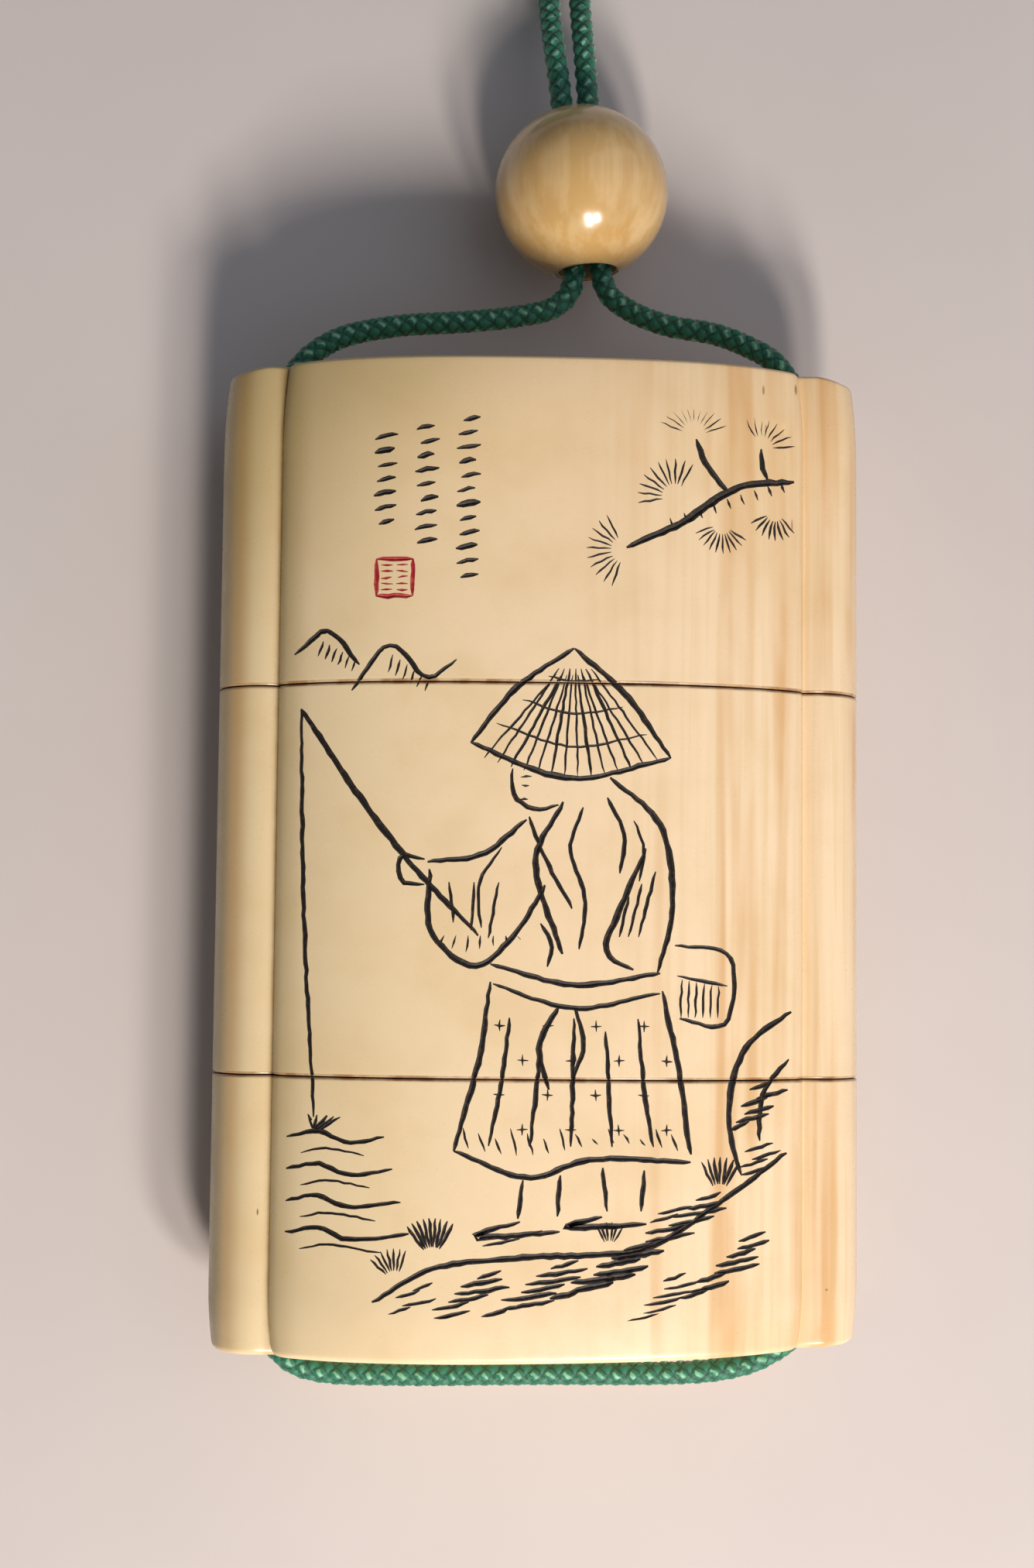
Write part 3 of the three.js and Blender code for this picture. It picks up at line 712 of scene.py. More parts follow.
def buildBlock(name, rings):
    # A disc is raised once for each ring, and every ring then takes its outline
    bpy.ops.mesh.primitive_circle_add(vertices=len(rings[0]), fill_type="NGON")
    block = bpy.context.object
    block.name = name
    bpy.ops.object.mode_set(mode="EDIT")
    bpy.ops.mesh.select_all(action="SELECT")
    for _ in rings[1:]:
        bpy.ops.mesh.extrude_region_move()
    bpy.ops.object.mode_set(mode="OBJECT")
    for vertex, place in zip(block.data.vertices, [p for ring in rings for p in ring]):
        vertex.co = place
    faceOutwards()
    block.select_set(False)
    keepAll(block)
    return block


def modify(body, kind, tool, **settings):
    # A modifier that reads a second piece, which is gone once it has been applied
    modifier = body.modifiers.new("tool", kind)
    modifier.object = tool
    for name, value in settings.items():
        setattr(modifier, name, value)
    bpy.context.view_layer.objects.active = body
    bpy.ops.object.modifier_apply(modifier=modifier.name)
    bpy.data.objects.remove(tool)


def combine(body, tool, operation="DIFFERENCE"):
    modify(body, "BOOLEAN", tool, operation=operation, solver="MANIFOLD")


# Half of the front's outline, from the middle line out to the edge, as (x, z)
def outerProfile(inset):
    start = case["restWidth"] / 2
    grooveX = halfPanel - inset - case["grooveStep"]
    edgeRound = case["panelEdgeRound"]
    across = [start * k / case["flatSteps"] for k in range(case["flatSteps"])]
    steps = case["panelSteps"]
    across += [mixShares(start, grooveX - edgeRound, k / steps) for k in range(steps)]
    points = [(x, panelHeight(x, inset)) for x in across]
    for k in range(case["panelEdgeSteps"] + 1):
        angle = math.pi / 2 * k / case["panelEdgeSteps"]
        x = grooveX - edgeRound * (1 - math.sin(angle))
        points.append((x, panelHeight(x, inset) - edgeRound * (1 - math.cos(angle))))
    ribTop = case["ribDepth"] - inset
    grooveAngle = math.acos(case["grooveShare"])
    reach = (ribCrownX - grooveX - case["grooveStep"]) / math.sin(grooveAngle)
    for k in range(case["ribInnerSteps"] + 1):
        angle = grooveAngle * (1 - k / case["ribInnerSteps"])
        points.append((ribCrownX - reach * math.sin(angle), ribTop * math.cos(angle)))
    for k in range(1, case["ribOuterSteps"] + 1):
        angle = math.pi / 2 * k / case["ribOuterSteps"]
        points.append((
            ribCrownX + (halfWidth - inset - ribCrownX) * math.sin(angle),
            0 if k == case["ribOuterSteps"] else ribTop * math.cos(angle),
        ))
    return points


def innerProfile(growth):
    width = halfPanel - inside["wallAtRib"] + growth
    depth = case["crownDepth"] - inside["wallAtCrown"] + growth
    points = []
    for k in range(inside["steps"] + 1):
        angle = math.pi / 2 * k / inside["steps"]
        share = math.sin(angle) ** (2 / inside["cavityBow"])
        height = depth * (1 - min(1, share) ** inside["cavityBow"]) ** inside["cavityShoulder"]
        points.append((width * share, height))
    return points


def closeRing(profile, yAt, backDepth):
    # Over the front from right to left, then behind, where the back is rubbed flat
    across = profile[:0:-1] + [(-x, z) for x, z in profile]
    front = [(x, yAt(x), restDepth + z) for x, z in across]
    behind = [(x, yAt(x), restDepth - min(z, backDepth)) for x, z in across[-2:0:-1]]
    return front + behind


def outerRing(inset, yAt):
    return closeRing(outerProfile(inset), yAt, restDepth - inset)


def edgeInset(distance, radius, taper=0, taperLength=1):
    # How far the outline draws in near an end: a soft taper, and the rounding of the edge itself
    draw = taper * (1 - distance / taperLength) ** 2 if distance < taperLength else 0
    rounding = radius - math.sqrt(radius ** 2 - (radius - distance) ** 2) if distance < radius else 0
    return draw + rounding


def arcDistances(radius, steps):
    return [radius * (1 - math.cos(math.pi / 2 * k / steps)) for k in range(steps + 1)]


def seamRings(endY, direction):
    # From the seam inwards: direction is 1 where the section lies above its seam, else -1
    rings = []
    for distance in [*arcDistances(case["seamRound"], 3), case["seamHold"]]:
        y = endY + direction * distance
        rings.append(outerRing(edgeInset(distance, case["seamRound"]), lambda x, y=y: y))
    return rings


def makeHollow(growth, fromY, toY):
    profile = innerProfile(growth)
    ends = [closeRing(profile, lambda x, y=y: y, math.inf) for y in (fromY, toY)]
    return buildBlock("hollow", ends)


def cutRecess(body, seamY, toY):
    combine(body, makeHollow(inside["riserWall"] + inside["riserClearance"], seamY - inside["cutPast"], toY))


def addRiser(body, floorY, seamY):
    # The compartment's wall, carried up past the seam, and the compartment that is open above it
    riserTop = seamY + inside["riserHeight"]
    combine(body, makeHollow(inside["riserWall"], floorY, riserTop), "UNION")
    combine(body, makeHollow(0, floorY, riserTop + inside["cutPast"]))


def cutChannels(body):
    for side in (-1, 1):
        bpy.ops.mesh.primitive_cylinder_add(
            vertices=channel["sides"], radius=channelRadius, depth=3 * caseLength,
            location=(side * channelX, 0, restDepth), rotation=(math.pi / 2, 0, 0),
        )
        bore = bpy.context.object
        bore.select_set(False)
        keepAll(bore)
        combine(body, bore)


# The mouths of the channels, worn towards the middle and rounded by the cord
def cutMouths(body, endY, direction):
    half = channel["sides"] // 2
    for side in (-1, 1):
        rings = []
        for depth, growth in channel["mouthWear"]:
            ring = []
            for k in range(channel["sides"] + 2):
                inner = k > half
                angle = math.pi * (k - (1 if inner else 0)) / half - math.pi / 2
                middle = channelX - (channel["mouthReach"] if inner else 0)
                reach = channelRadius + growth
                ring.append((
                    side * (middle + reach * math.cos(angle)),
                    endY + direction * depth,
                    restDepth + reach * math.sin(angle),
                ))
            rings.append(ring)
        combine(body, buildBlock("mouth", rings))


# Engraving, drawn in millimetres on the front: V-shaped cuts that swell and taper, filled with ink. A
# stroke is its width and then the points that it runs through.
picture = {
    "cutRatio": 0.5,
    "cutAbove": 0.4,
    "cutTip": 0.3,
    "brush": 0.5,
    "plain": 0.38,
    "fine": 0.28,
    "hair": 0.2,
    "step": 0.55,
    "swell": 0.3,
    "roughness": 0.24,
    "wobbleKept": 0.4,
    "unsteadiness": 0.05,
    "sheetWidth": 44,
    "skinDepth": 0.03,
    "polishInset": 0.2,
    "polishMargin": 0.15,
    "apart": 0.28,
    "inkSlot": 1,
    "sealSlot": 2,
}


def fan(x, y, reach, fromAngle, toAngle, count, width):
    foot = Vector((x, y))
    angles = [math.radians(mixShares(fromAngle, toAngle, k / (count - 1))) for k in range(count)]
    aways = [Vector((math.cos(angle), math.sin(angle))) for angle in angles]
    return [(width, foot + 0.34 * reach * away, foot + reach * away) for away in aways]


brush, plain, fine, hair = [picture[kind] for kind in ("brush", "plain", "fine", "hair")]


# An angler in a broad straw hat, on a bank under a pine bough
def hatStrokes():
    apex, left, right = (2.4, 16.2), (-6, 8.6), (10.4, 7.6)
    strokes = [
        (brush, apex, (-2.2, 13.1), left),
        (brush, apex, (6.6, 12.6), right),
        (brush, left, (2, 5.9), right),
    ]
    straws = 15
    for k in range(1, straws):
        share = k / straws
        x = mixShares(left[0], right[0], share)
        topX = apex[0] + 0.2 * (x - apex[0])
        brimY = 7.9 - 7.4 * share * (1 - share)
        broad = k % 3 == 0
        strokes.append((fine if broad else hair, (topX, 14.6 - 0.5 * (k % 2)), (x, brimY)))
    for k in range(1, 4):
        share = k / 4
        a = (mixShares(apex[0], left[0], share), mixShares(apex[1], left[1], share) - 0.3)
        b = (mixShares(apex[0], right[0], share), mixShares(apex[1], right[1], share) - 0.3)
        middle = (2.2, mixShares(apex[1], 6.4, share) - 0.6 * share)
        strokes.append((hair, a, middle, b))
    return strokes


def robeStrokes():
    strokes = [
        (plain, (-2.6, 6.6), (-2.4, 4.4), (-0.6, 3.4), (1.2, 3.8)),
        (brush, (1.6, 4), (-0.6, -0.6), (1.6, -8)),
        (plain, (-1.2, 2.8), (0.2, -0.6), (2.4, -4.4)),
        (brush, (5.4, 6), (9.6, 2.2), (10.6, -4.6), (9.4, -9.4)),
        (brush, (-1.4, 2.6), (-5, -0.2), (-9.4, -0.8)),
        (brush, (-9.2, -1.4), (-9, -6.4), (-5.4, -9), (-2.4, -6.6), (0.2, -2.6)),
        (plain, (-9.6, -0.6), (-11.6, -0.4), (-11.4, -2.4), (-9.6, -2.6)),
        (brush, (8.4, 0.4), (6.2, -4.6), (5.2, -7.8), (7.4, -9.2)),
        (brush, (-4.2, -8.8), (2.6, -10.4), (9.6, -9.4)),
        (plain, (-4, -10.4), (2.6, -12.2), (9.6, -11)),
        (brush, (-4.2, -10.2), (-5, -16), (-7, -23.4)),
        (brush, (9.8, -10.8), (11.2, -17), (12.2, -23.6)),
        (brush, (-7, -23.4), (-1, -25.4), (4, -24), (12.2, -24.2)),
        (brush, (1.4, -12), (-0.2, -15.2), (0.6, -18.6)),
        (plain, (3.2, 3.6), (2.2, 0.4), (3.4, -3.6), (3, -7.6)),
        (plain, (5.2, 4.4), (6.6, 1.4), (6.2, -1.6)),
        (fine, (7.4, 2.6), (8.2, 0.4), (7.8, -2.2)),
        (plain, (-0.2, -5.6), (0.8, -7.4), (0.4, -9)),
        (fine, (-3.4, 0.4), (-5.2, -2.6), (-5, -6)),
        (plain, (2.6, -12), (3.4, -15), (2.4, -18)),
        (plain, (-1.4, -25.6), (-1.8, -28.6)),
        (plain, (1.6, -25.2), (1.4, -28.4)),
        (plain, (5, -24.6), (5.4, -28)),
        (plain, (8.4, -24.8), (8.2, -28)),
        (brush, (-1.6, -28.8), (-5.4, -30), (1.6, -29.6)),
        (brush, (5, -28.4), (1.9, -29.2), (8.6, -29)),
    ]
    for k in range(5):
        x, sway = -2.6 + 2.6 * k, 0.28 * (k - 2.2)
        strokes.append((plain, (x, -13 - k % 2), (x + sway, -18), (x + 2.6 * sway, -23)))
    for k in range(3):
        strokes += [
            (fine, (-7.6 + 2 * k, -2.4), (-7.2 + 1.4 * k, -5.6 - 0.6 * k)),
            (fine, (9.2 - 1.1 * k, -1.4 - k), (7.8 - 0.8 * k, -6.6)),
        ]
    # Brow, eye and mouth of the face in the hat's shade, as three plain marks
    strokes += [
        (hair, (-1.9, 5.9), (-1.0, 6.0)), (hair, (-1.8, 5.3), (-1.2, 5.25)),
        (hair, (-1.9, 4.2), (-1.3, 4.15)),
    ]
    # Small crosses woven into the robe
    for row in range(4):
        for k in range(4):
            x = -3.4 + 3.9 * k + 1.9 * (row % 2)
            y = -13.6 - 2.7 * row
            if x < 10.6:
                strokes += [(hair, (x - 0.45, y), (x + 0.45, y)), (hair, (x, y - 0.45), (x, y + 0.45))]
    # Shading along the hem and under the sleeve
    for k in range(14):
        x = -5.8 + 1.3 * k
        strokes.append((hair, (x, -23.2 - 0.5 * math.sin(0.5 * k)), (x - 0.5, -21.6 - 0.4 * (k % 3))))
    return strokes + [
        (hair, (-8.4 + 1.1 * k, -7.9 + 0.25 * abs(k - 2)), (-8.0 + 1.0 * k, -6.6)) for k in range(7)
    ]


def rodStrokes():
    tip = (-20, 11.4)
    strokes = [
        (brush, (-5.2, -6.6), (-10.4, -1.4), (-15.6, 5), tip),
        (fine, tip, (-19.6, -4), (-18.4, -21)),
        (plain, (10.8, -7.2), (15.4, -8), (15, -13.4), (11.2, -13)),
        (fine, (11, -9.6), (15.2, -10.4)),
    ]
    slats = [(11.4 + 0.62 * k, -9.9 - 0.1 * k) for k in range(6)]
    return strokes + [(hair, (x, y), (x - 0.1, -12.9)) for x, y in slats]


def hatchBand(x, y, rows, reach, lean, width):
    # Short hatches stacked into a band that falls away to the left, each row starting farther left
    strokes = []
    for row in range(rows):
        spread = math.sin(math.pi * (row + 0.7) / (rows + 0.4))
        left = x - lean * row + 0.5 * math.sin(2.7 * row + x)
        length = reach * (0.45 + 0.55 * spread) * (1 + 0.2 * math.sin(1.9 * row + y))
        height = y - 0.62 * row
        middle = left + 0.5 * length
        strokes.append((width, (left, height), (middle, height + 0.26), (left + length, height + 0.62)))
    return strokes


def bankStrokes():
    ledge = [(20.4, -23.6), (14.6, -27.4), (8.6, -30.8), (-1.6, -31.6), (-8.8, -32.6), (-13.4, -35.2)]
    strokes = [
        (brush, *ledge),
        (brush, (20.8, -12.4), (16.8, -15.4), (15.4, -20.6), (16.4, -25.2)),
        (plain, (20.6, -16.2), (18.4, -18.8), (18, -22.6)),
    ]
    # Bands of hatching that lie under the ledge, on the rock to the right and in front of the feet
    bands = (
        (12.6, -27.2, 7, 4.2, 0.9, plain), (6.6, -31, 7, 4.6, 0.9, brush),
        (0.6, -32.4, 7, 4.4, 0.8, plain), (-5.4, -33.2, 6, 3.8, 0.7, plain),
        (16.6, -30.4, 8, 3.4, 0.7, plain), (10.4, -33.4, 6, 3.6, 0.6, fine),
        (17.6, -18.6, 6, 2.8, 0.4, plain), (17.2, -23.4, 4, 2.9, 0.3, fine),
        (-10.6, -34.2, 4, 2.4, 0.4, fine), (-3.6, -30.1, 2, 3.4, 0.6, fine),
        (9.6, -28.2, 2, 3.2, 0.6, fine),
    )
    for band in bands:
        strokes += hatchBand(*band)
    # Ripples on the water to the left
    for k in range(4):
        y = -22.6 - 2.5 * k
        right = -12.6 + 0.7 * k
        strokes += [
            (plain, (-20.6, y), (-18, y + 0.5), (-15.6, y - 0.3), (right, y + 0.2)),
            (hair, (-19.4, y - 1.2), (-17.2, y - 0.8), (-14.2 + 0.5 * k, y - 1.3)),
        ]
    for k in range(3):
        left, right = -18.9 + 0.8 * k, -17.2 + 0.5 * k
        strokes.append((fine, (left, -20.8), (-18.4, -21.8 - 0.2 * k), (right, -20.9)))
    for tuft in (
        (-8.6, -32, 3.4, 62, 128, 9, fine), (14.6, -27, 3.2, 58, 118, 7, fine),
        (-11.6, -33.6, 2.6, 70, 140, 7, hair), (5.6, -31, 2.2, 60, 120, 6, hair),
    ):
        strokes += fan(*tuft)
    return strokes


def pineStrokes():
    tufts = [
        (6.4, 24.2, 118, 252), (10.6, 28.6, 60, 190), (12.2, 33.6, 20, 160), (18, 33, 10, 120),
        (14.6, 26.6, 200, 330), (19.2, 28.0, 210, 320),
    ]
    strokes = [
        (1.3 * brush, (21, 30.6), (16, 29.6), (11, 26.4), (6.6, 24.4)),
        (brush, (15.2, 29.2), (13.4, 31.2), (12.4, 33.4)),
        (plain, (18.6, 30.4), (18.2, 31.6), (18, 33)),
    ]
    for k, (x, y, fromAngle, toAngle) in enumerate(tufts):
        needles = max(6, round((toAngle - fromAngle) / 13))
        strokes += fan(x, y, 3.1 if k < 4 else 2.4, fromAngle, toAngle, needles, 0.85 * hair)
    for k in range(9):
        x = 10.2 + 1.2 * k
        y = mixShares(26.4, 30.4, (x - 10.2) / 10.8)
        strokes.append((hair, (x, y + 0.5), (x + 0.35, y - 0.3)))
    return strokes


def hillStrokes():
    strokes = [
        (plain, (-15.8, 12.8), (-12.6, 16.4), (-9.6, 13.8), (-7.2, 15.2)),
        (plain, (-20.6, 15.8), (-18, 17.6), (-15.2, 14.8)),
    ]
    for k in range(6):
        strokes += [
            (hair, (-12.4 + 0.6 * k, 15.6 - 0.4 * k), (-12.8 + 0.6 * k, 14.2 - 0.3 * k)),
            (hair, (-18.2 + 0.55 * k, 16.8 - 0.3 * k), (-18.6 + 0.55 * k, 15.6 - 0.25 * k)),
        ]
    return strokes


# Three columns of short separate dashes that mean nothing
def columnStrokes():
    strokes = []
    for column, (x, dashes) in enumerate(((-6.4, 12), (-9.8, 9), (-13.2, 7))):
        for k in range(dashes):
            y = 34.4 - 0.7 * column - 1.15 * k
            left = x - 0.5 - 0.5 * abs(math.sin(2.3 * k + column))
            right = x + 0.5 + 0.5 * abs(math.sin(1.7 * k + 2 * column + 1))
            width = plain if (k + column) % 3 else brush
            middle = mixShares(left, right, 0.5)
            strokes.append((width, (left, y), (middle, y + 0.25), (right, y + 0.35)))
    return strokes


seal = {"x": -12.4, "y": 21.8, "half": 1.5}


def sealFrameStrokes():
    strokes = []
    for dx, dy in ((1, 0), (0, 1), (-1, 0), (0, -1)):
        a = (seal["x"] + seal["half"] * (dx - dy), seal["y"] + seal["half"] * (dy - dx))
        b = (seal["x"] + seal["half"] * (dx + dy), seal["y"] + seal["half"] * (dy + dx))
        strokes.append((plain, a, b))
    return strokes


def sealFillStrokes():
    strokes = []
    for k in range(5):
        y = seal["y"] - 1.0 + 0.5 * k
        sway = 0.08 * math.sin(2.3 * k)
        strokes += [
            (hair, (seal["x"] - 1.1, y + sway), (seal["x"] - 0.15 + sway, y)),
            (hair, (seal["x"] + 0.2 - sway, y), (seal["x"] + 1.1, y - sway)),
        ]
    return strokes


def makeCut(mark, chance):
    # Rings of three points along a cut: its two top edges, clear of the surface, and its bottom
    fullWidth, *points = mark
    stretch = case["panelWidth"] / picture["sheetWidth"]
    route = curveThrough([Vector((stretch * x, y, 0)) for x, y in map(Vector, points)], picture["step"])
    steps = len(route) - 1
    wobble, kept = 1.0, picture["wobbleKept"]
    rings = []
    for k, at in enumerate(route):
        along = (route[min(k + 1, steps)] - route[max(k - 1, 0)]).normalized()
        swell = mixShares(picture["cutTip"], 1, max(0, math.sin(math.pi * k / steps)) ** picture["swell"])
        wobble = kept * wobble + (1 - kept) * (1 + picture["roughness"] * chance.uniform(-1, 1))
        at = at + picture["unsteadiness"] * chance.uniform(-1, 1) * Vector((-along.y, along.x, 0))
        width = fullWidth * swell * wobble
        depth = width * picture["cutRatio"]
        spread = width / 2 * (depth + picture["cutAbove"]) / depth
        surface = restDepth + panelHeight(at.x)
        rings.append([
            (at.x - along.y * spread, at.y + along.x * spread, surface + picture["cutAbove"]),
            (at.x + along.y * spread, at.y - along.x * spread, surface + picture["cutAbove"]),
            (at.x, at.y, surface - depth),
        ])
    return {"rings": rings, "route": [Vector(ring[2][:2]) for ring in rings], "half": fullWidth / 2}


def cutsMeet(one, other):
    gap = one["half"] + other["half"] + picture["apart"]
    for axis in (0, 1):
        low, high = [[pick(p[axis] for p in cut["route"]) for cut in (one, other)] for pick in (min, max)]
        if low[0] > high[1] + gap or low[1] > high[0] + gap:
            return False
    return any((p - q).length < gap for p in one["route"] for q in other["route"])


def sortIntoLayers(cuts):
    # A cutting tool may not run through itself, so cuts that cross are made one after the other
    layers = []
    for cut in cuts:
        free = [layer for layer in layers if not any(cutsMeet(cut, other) for other in layer)]
        if free:
            free[0].append(cut)
        else:
            layers.append([cut])
    return layers


def makeCuttingTool(cuts, slotNumber):
    vertices, faces = [], []
    for rings in [cut["rings"] for cut in cuts]:
        first = len(vertices)
        vertices += [corner for ring in rings for corner in ring]
        for r in range(len(rings) - 1):
            for side in range(3):
                a = first + 3 * r + side
                b = first + 3 * r + (side + 1) % 3
                faces.append((a, b, b + 3, a + 3))
        last = len(vertices) - 3
        faces += [(first, first + 2, first + 1), (last, last + 1, last + 2)]
    mesh = bpy.data.meshes.new("cuttingTool")
    mesh.from_pydata(vertices, [], faces)
    tool = bpy.data.objects.new("cuttingTool", mesh)
    bpy.context.collection.objects.link(tool)
    keepAll(tool)
    for face in mesh.polygons:
        face.material_index = slotNumber
    return tool


chance = random.Random(seed)
inkMarks = [
    *hatStrokes(), *robeStrokes(), *rodStrokes(), *bankStrokes(), *pineStrokes(),
    *hillStrokes(), *columnStrokes(),
]
inkCuts = [makeCut(mark, chance) for mark in inkMarks]
sealCuts = [makeCut(mark, chance) for mark in sealFrameStrokes() + sealFillStrokes()]
print("picture drawn:", len(inkCuts), "ink cuts and", len(sealCuts), "seal cuts")


def engrave(body, fromY, toY):
    for cuts, slotNumber in ((inkCuts, picture["inkSlot"]), (sealCuts, picture["sealSlot"])):
        here = [cut for cut in cuts if any(fromY - 1 < p.y < toY + 1 for p in cut["route"])]
        for layer in sortIntoLayers(here):
            combine(body, makeCuttingTool(layer, slotNumber))


def smoothSection(body):
    bpy.context.view_layer.objects.active = body
    body.select_set(True)
    bpy.ops.object.shade_smooth_by_angle(angle=math.radians(30))
    body.select_set(False)


def keepPolish(body, uncut, fromY, toY):
    # Between the cuts the front takes its shading from the uncut section, so that no cut shows beside itself
    front = body.vertex_groups.new(name="front")
    front.add([
        v.index for v in body.data.vertices
        if abs(v.co.x) < halfPanel - picture["polishInset"] and fromY < v.co.y < toY
        and abs(v.co.z - restDepth - panelHeight(v.co.x)) < picture["skinDepth"]
    ], 1, "REPLACE")
    modify(
        body, "DATA_TRANSFER", uncut, use_loop_data=True, data_types_loops={"CUSTOM_NORMAL"},
        loop_mapping="POLYINTERP_NEAREST", vertex_group=front.name,
    )
    body.vertex_groups.clear()


def finishSection(body, node, fromY, toY):
    smoothSection(body)
    uncut = body.copy()
    uncut.data = body.data.copy()
    bpy.context.collection.objects.link(uncut)
    engrave(body, fromY, toY)
    smoothSection(body)
    keepPolish(body, uncut, fromY + picture["polishMargin"], toY - picture["polishMargin"])
    body.data.transform(Matrix.Scale(mm, 4))
    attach(body, "root")
    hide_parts(node)
    print(body.name, "has", len(body.data.polygons), "faces")


def lidEndAt(x, distance):
    # The lid's end is worn a little lower over the ribs
    start = case["lidEndDropFrom"]
    worn = min(1, max(0, (abs(x) - start) / (halfWidth - start) * case["lidEndDropRate"]))
    fading = max(0, 1 - distance / case["lidTaperLength"]) ** 4
    return lidTopY - distance - case["lidEndDrop"] * worn * fading


def makeLid():
    lowY = seamOneY + case["seamGap"] / 2
    rings = seamRings(lowY, 1)
    draws = [case["lidTaperLength"] * share for share in (1, 0.8, 0.6, 0.4, 0.2, 0.08)]
    draws += arcDistances(case["lidEdgeRadius"], 7)[::-1]
    for distance in draws:
        inset = edgeInset(distance, case["lidEdgeRadius"], case["lidTaper"], case["lidTaperLength"])
        rings.append(outerRing(inset, lambda x, d=distance: lidEndAt(x, d)))
    body = buildBlock("lidSection", rings)
    cutChannels(body)
    cutMouths(body, lidTopY, 1)
    cutRecess(body, seamOneY, lidTopY - inside["lidThickness"])
    finishSection(body, "lid", lowY, lidTopY)


def makeMiddle():
    lowY, highY = seamTwoY + case["seamGap"] / 2, seamOneY - case["seamGap"] / 2
    body = buildBlock("middleSection", seamRings(lowY, 1) + seamRings(highY, -1)[::-1])
    recessTop = seamTwoY + inside["riserHeight"] + inside["riserClearance"]
    cutChannels(body)
    cutRecess(body, seamTwoY, recessTop)
    addRiser(body, recessTop + inside["floorThickness"], seamOneY)
    finishSection(body, "middle_case", lowY, highY)


def baseEndAt(x):
    share = x / halfWidth
    return baseEndY + case["baseLean"] * share + case["baseCrown"] * share ** 2


def makeBase():
    highY = seamTwoY - case["seamGap"] / 2
    rings = []
    draws = arcDistances(case["baseEdgeRadius"], 9)
    draws += [case["baseTaperLength"] * share for share in (0.16, 0.4, 0.6, 0.8, 1)]
    for distance in draws:
        inset = edgeInset(distance, case["baseEdgeRadius"], case["baseTaper"], case["baseTaperLength"])
        rings.append(outerRing(inset, lambda x, d=distance: baseEndAt(x) + d))
    body = buildBlock("baseSection", rings + seamRings(highY, -1)[::-1])
    cutChannels(body)
    cutMouths(body, baseEndY, -1)
    addRiser(body, baseEndY + case["baseLean"] + inside["floorThickness"], seamTwoY)
    finishSection(body, "base_case", baseEndY, highY)


# The slide bead: a turned ball with a wide bore, its rims softened
def makeBead():
    radius = bead["diameter"] / 2
    bore = cord["diameter"] + bead["passage"] / 2
    segments = bead["segments"]
    bpy.ops.mesh.primitive_uv_sphere_add(segments=segments, ring_count=segments, radius=radius)
    ball = bpy.context.object
    ball.name = "slideBead"
    mouthZ = math.sqrt(radius ** 2 - bore ** 2)
    bpy.ops.object.mode_set(mode="EDIT")
    for side in (-1, 1):
        bpy.ops.mesh.select_all(action="SELECT")
        bpy.ops.mesh.bisect(plane_co=(0, 0, side * mouthZ), plane_no=(0, 0, side), clear_outer=True)
    bpy.ops.mesh.select_all(action="DESELECT")
    bpy.ops.mesh.select_mode(type="EDGE")
    bpy.ops.mesh.select_non_manifold()
    bpy.ops.mesh.bridge_edge_loops()
    bpy.ops.mesh.select_all(action="DESELECT")
    bpy.ops.object.mode_set(mode="OBJECT")
    places = ball.data.vertices
    for edge in ball.data.edges:
        a, b = [places[k].co for k in edge.vertices]
        edge.select = all(
            abs(abs(p.z) - mouthZ) < 0.01 and abs(p.xy.length - bore) < 0.01 for p in (a, b)
        )
    bpy.ops.object.mode_set(mode="EDIT")
    bpy.ops.mesh.bevel(offset=bead["rimRound"], segments=6)
    faceOutwards()
    for move in (
        Matrix.Rotation(math.pi / 2, 4, "X"), Matrix.Rotation(bead["turn"], 4, "Z"),
        Matrix.Translation(beadCentre), Matrix.Scale(mm, 4),
    ):
        ball.data.transform(move)
    ball.data.shade_smooth()
    ball.data.materials.append(makeTurnedBeadIvory())
    ball.select_set(False)
    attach(ball, "root")
    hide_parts("bead")


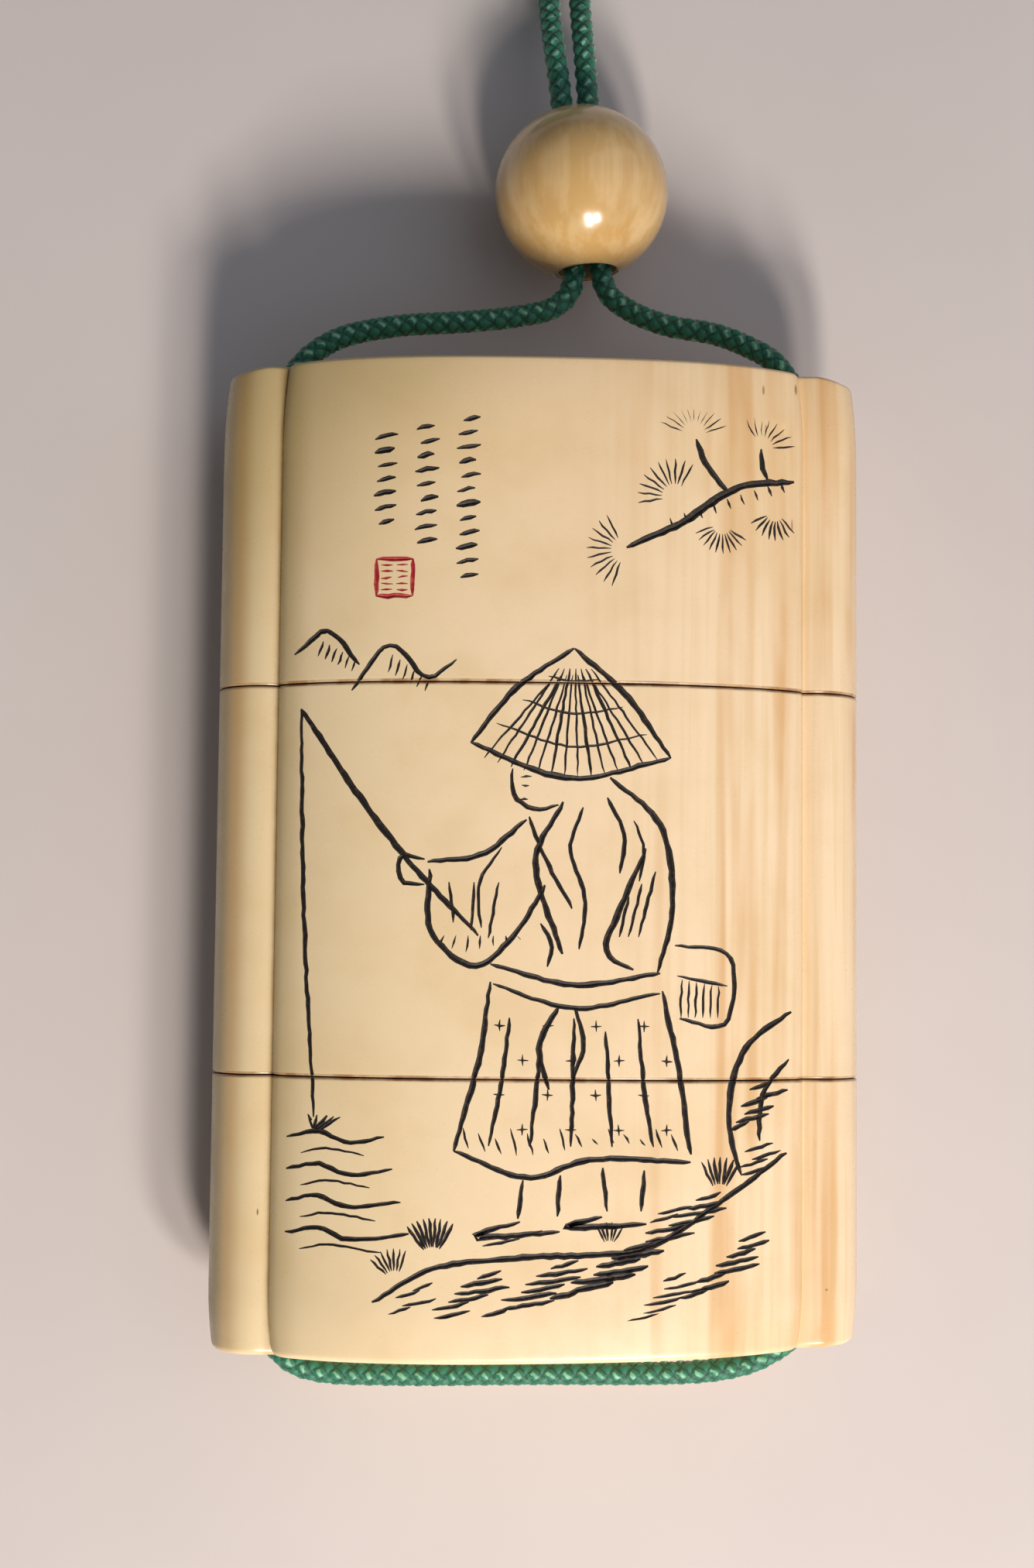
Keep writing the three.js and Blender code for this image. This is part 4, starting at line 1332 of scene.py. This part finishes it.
makeLid()
makeMiddle()
makeBase()
makeBead()
print("case and bead made")

# A plain pale floor and soft studio light: the main light from below right, in two panes, and a broad fill
studio = {
    "floorSize": 1.6,
    "paper": {
        "full": "#d1c8c5", "thin": "#c1b6b3", "noise": (0.05, 4, 0.6), "range": (0.3, 0.7, 0, 0.12),
        "roughness": 0.9,
    },
    "aim": (0, 0, 0.01),
    # Each lamp: where it stands, how far away and aside, its size across and up, power and colour
    "lamps": (
        ((0.24, -0.71, 0.66), 0.5, -0.05, 0.055, 0.14, 1.95, "#fff6ec"),
        ((0.24, -0.71, 0.66), 0.5, 0.05, 0.055, 0.09, 1.15, "#fff6ec"),
        ((0.7, 0.17, 0.69), 0.7, 0, 1.0, 1.0, 1.5, "#eef2ff"),
    ),
    "sky": "#dfe8f5",
    "skyStrength": 0.16,
}


def makeFloor():
    bpy.ops.mesh.primitive_plane_add(size=studio["floorSize"])
    floor = bpy.context.object
    floor.name = "floor"
    floor.data.materials.append(makeMottled("mattPaper", studio["paper"]))
    floor.select_set(False)


def addLamp(number, stand, away, aside, across, up, power, colour):
    ahead = -Vector(stand).normalized()
    light = bpy.data.objects.new(f"lamp{number}", bpy.data.lights.new(f"lamp{number}", "AREA"))
    bpy.context.collection.objects.link(light)
    light.data.shape = "RECTANGLE"
    light.data.size = across
    light.data.size_y = up
    light.data.energy = power
    light.data.color = toLinear(colour)[:3]
    turn = ahead.to_track_quat("-Z", "Y")
    light.location = Vector(studio["aim"]) - away * ahead + turn @ Vector((aside, 0, 0))
    light.rotation_euler = turn.to_euler()


def lightStudio():
    for number, lamp in enumerate(studio["lamps"]):
        addLamp(number, *lamp)
    world = bpy.data.worlds.new("studioWorld")
    world.use_nodes = True
    sky = world.node_tree.nodes["Background"]
    sky.inputs["Color"].default_value = toLinear(studio["sky"])
    sky.inputs["Strength"].default_value = studio["skyStrength"]
    bpy.context.scene.world = world
    bpy.context.scene.view_settings.view_transform = "Standard"


makeFloor()
lightStudio()
print("studio set")
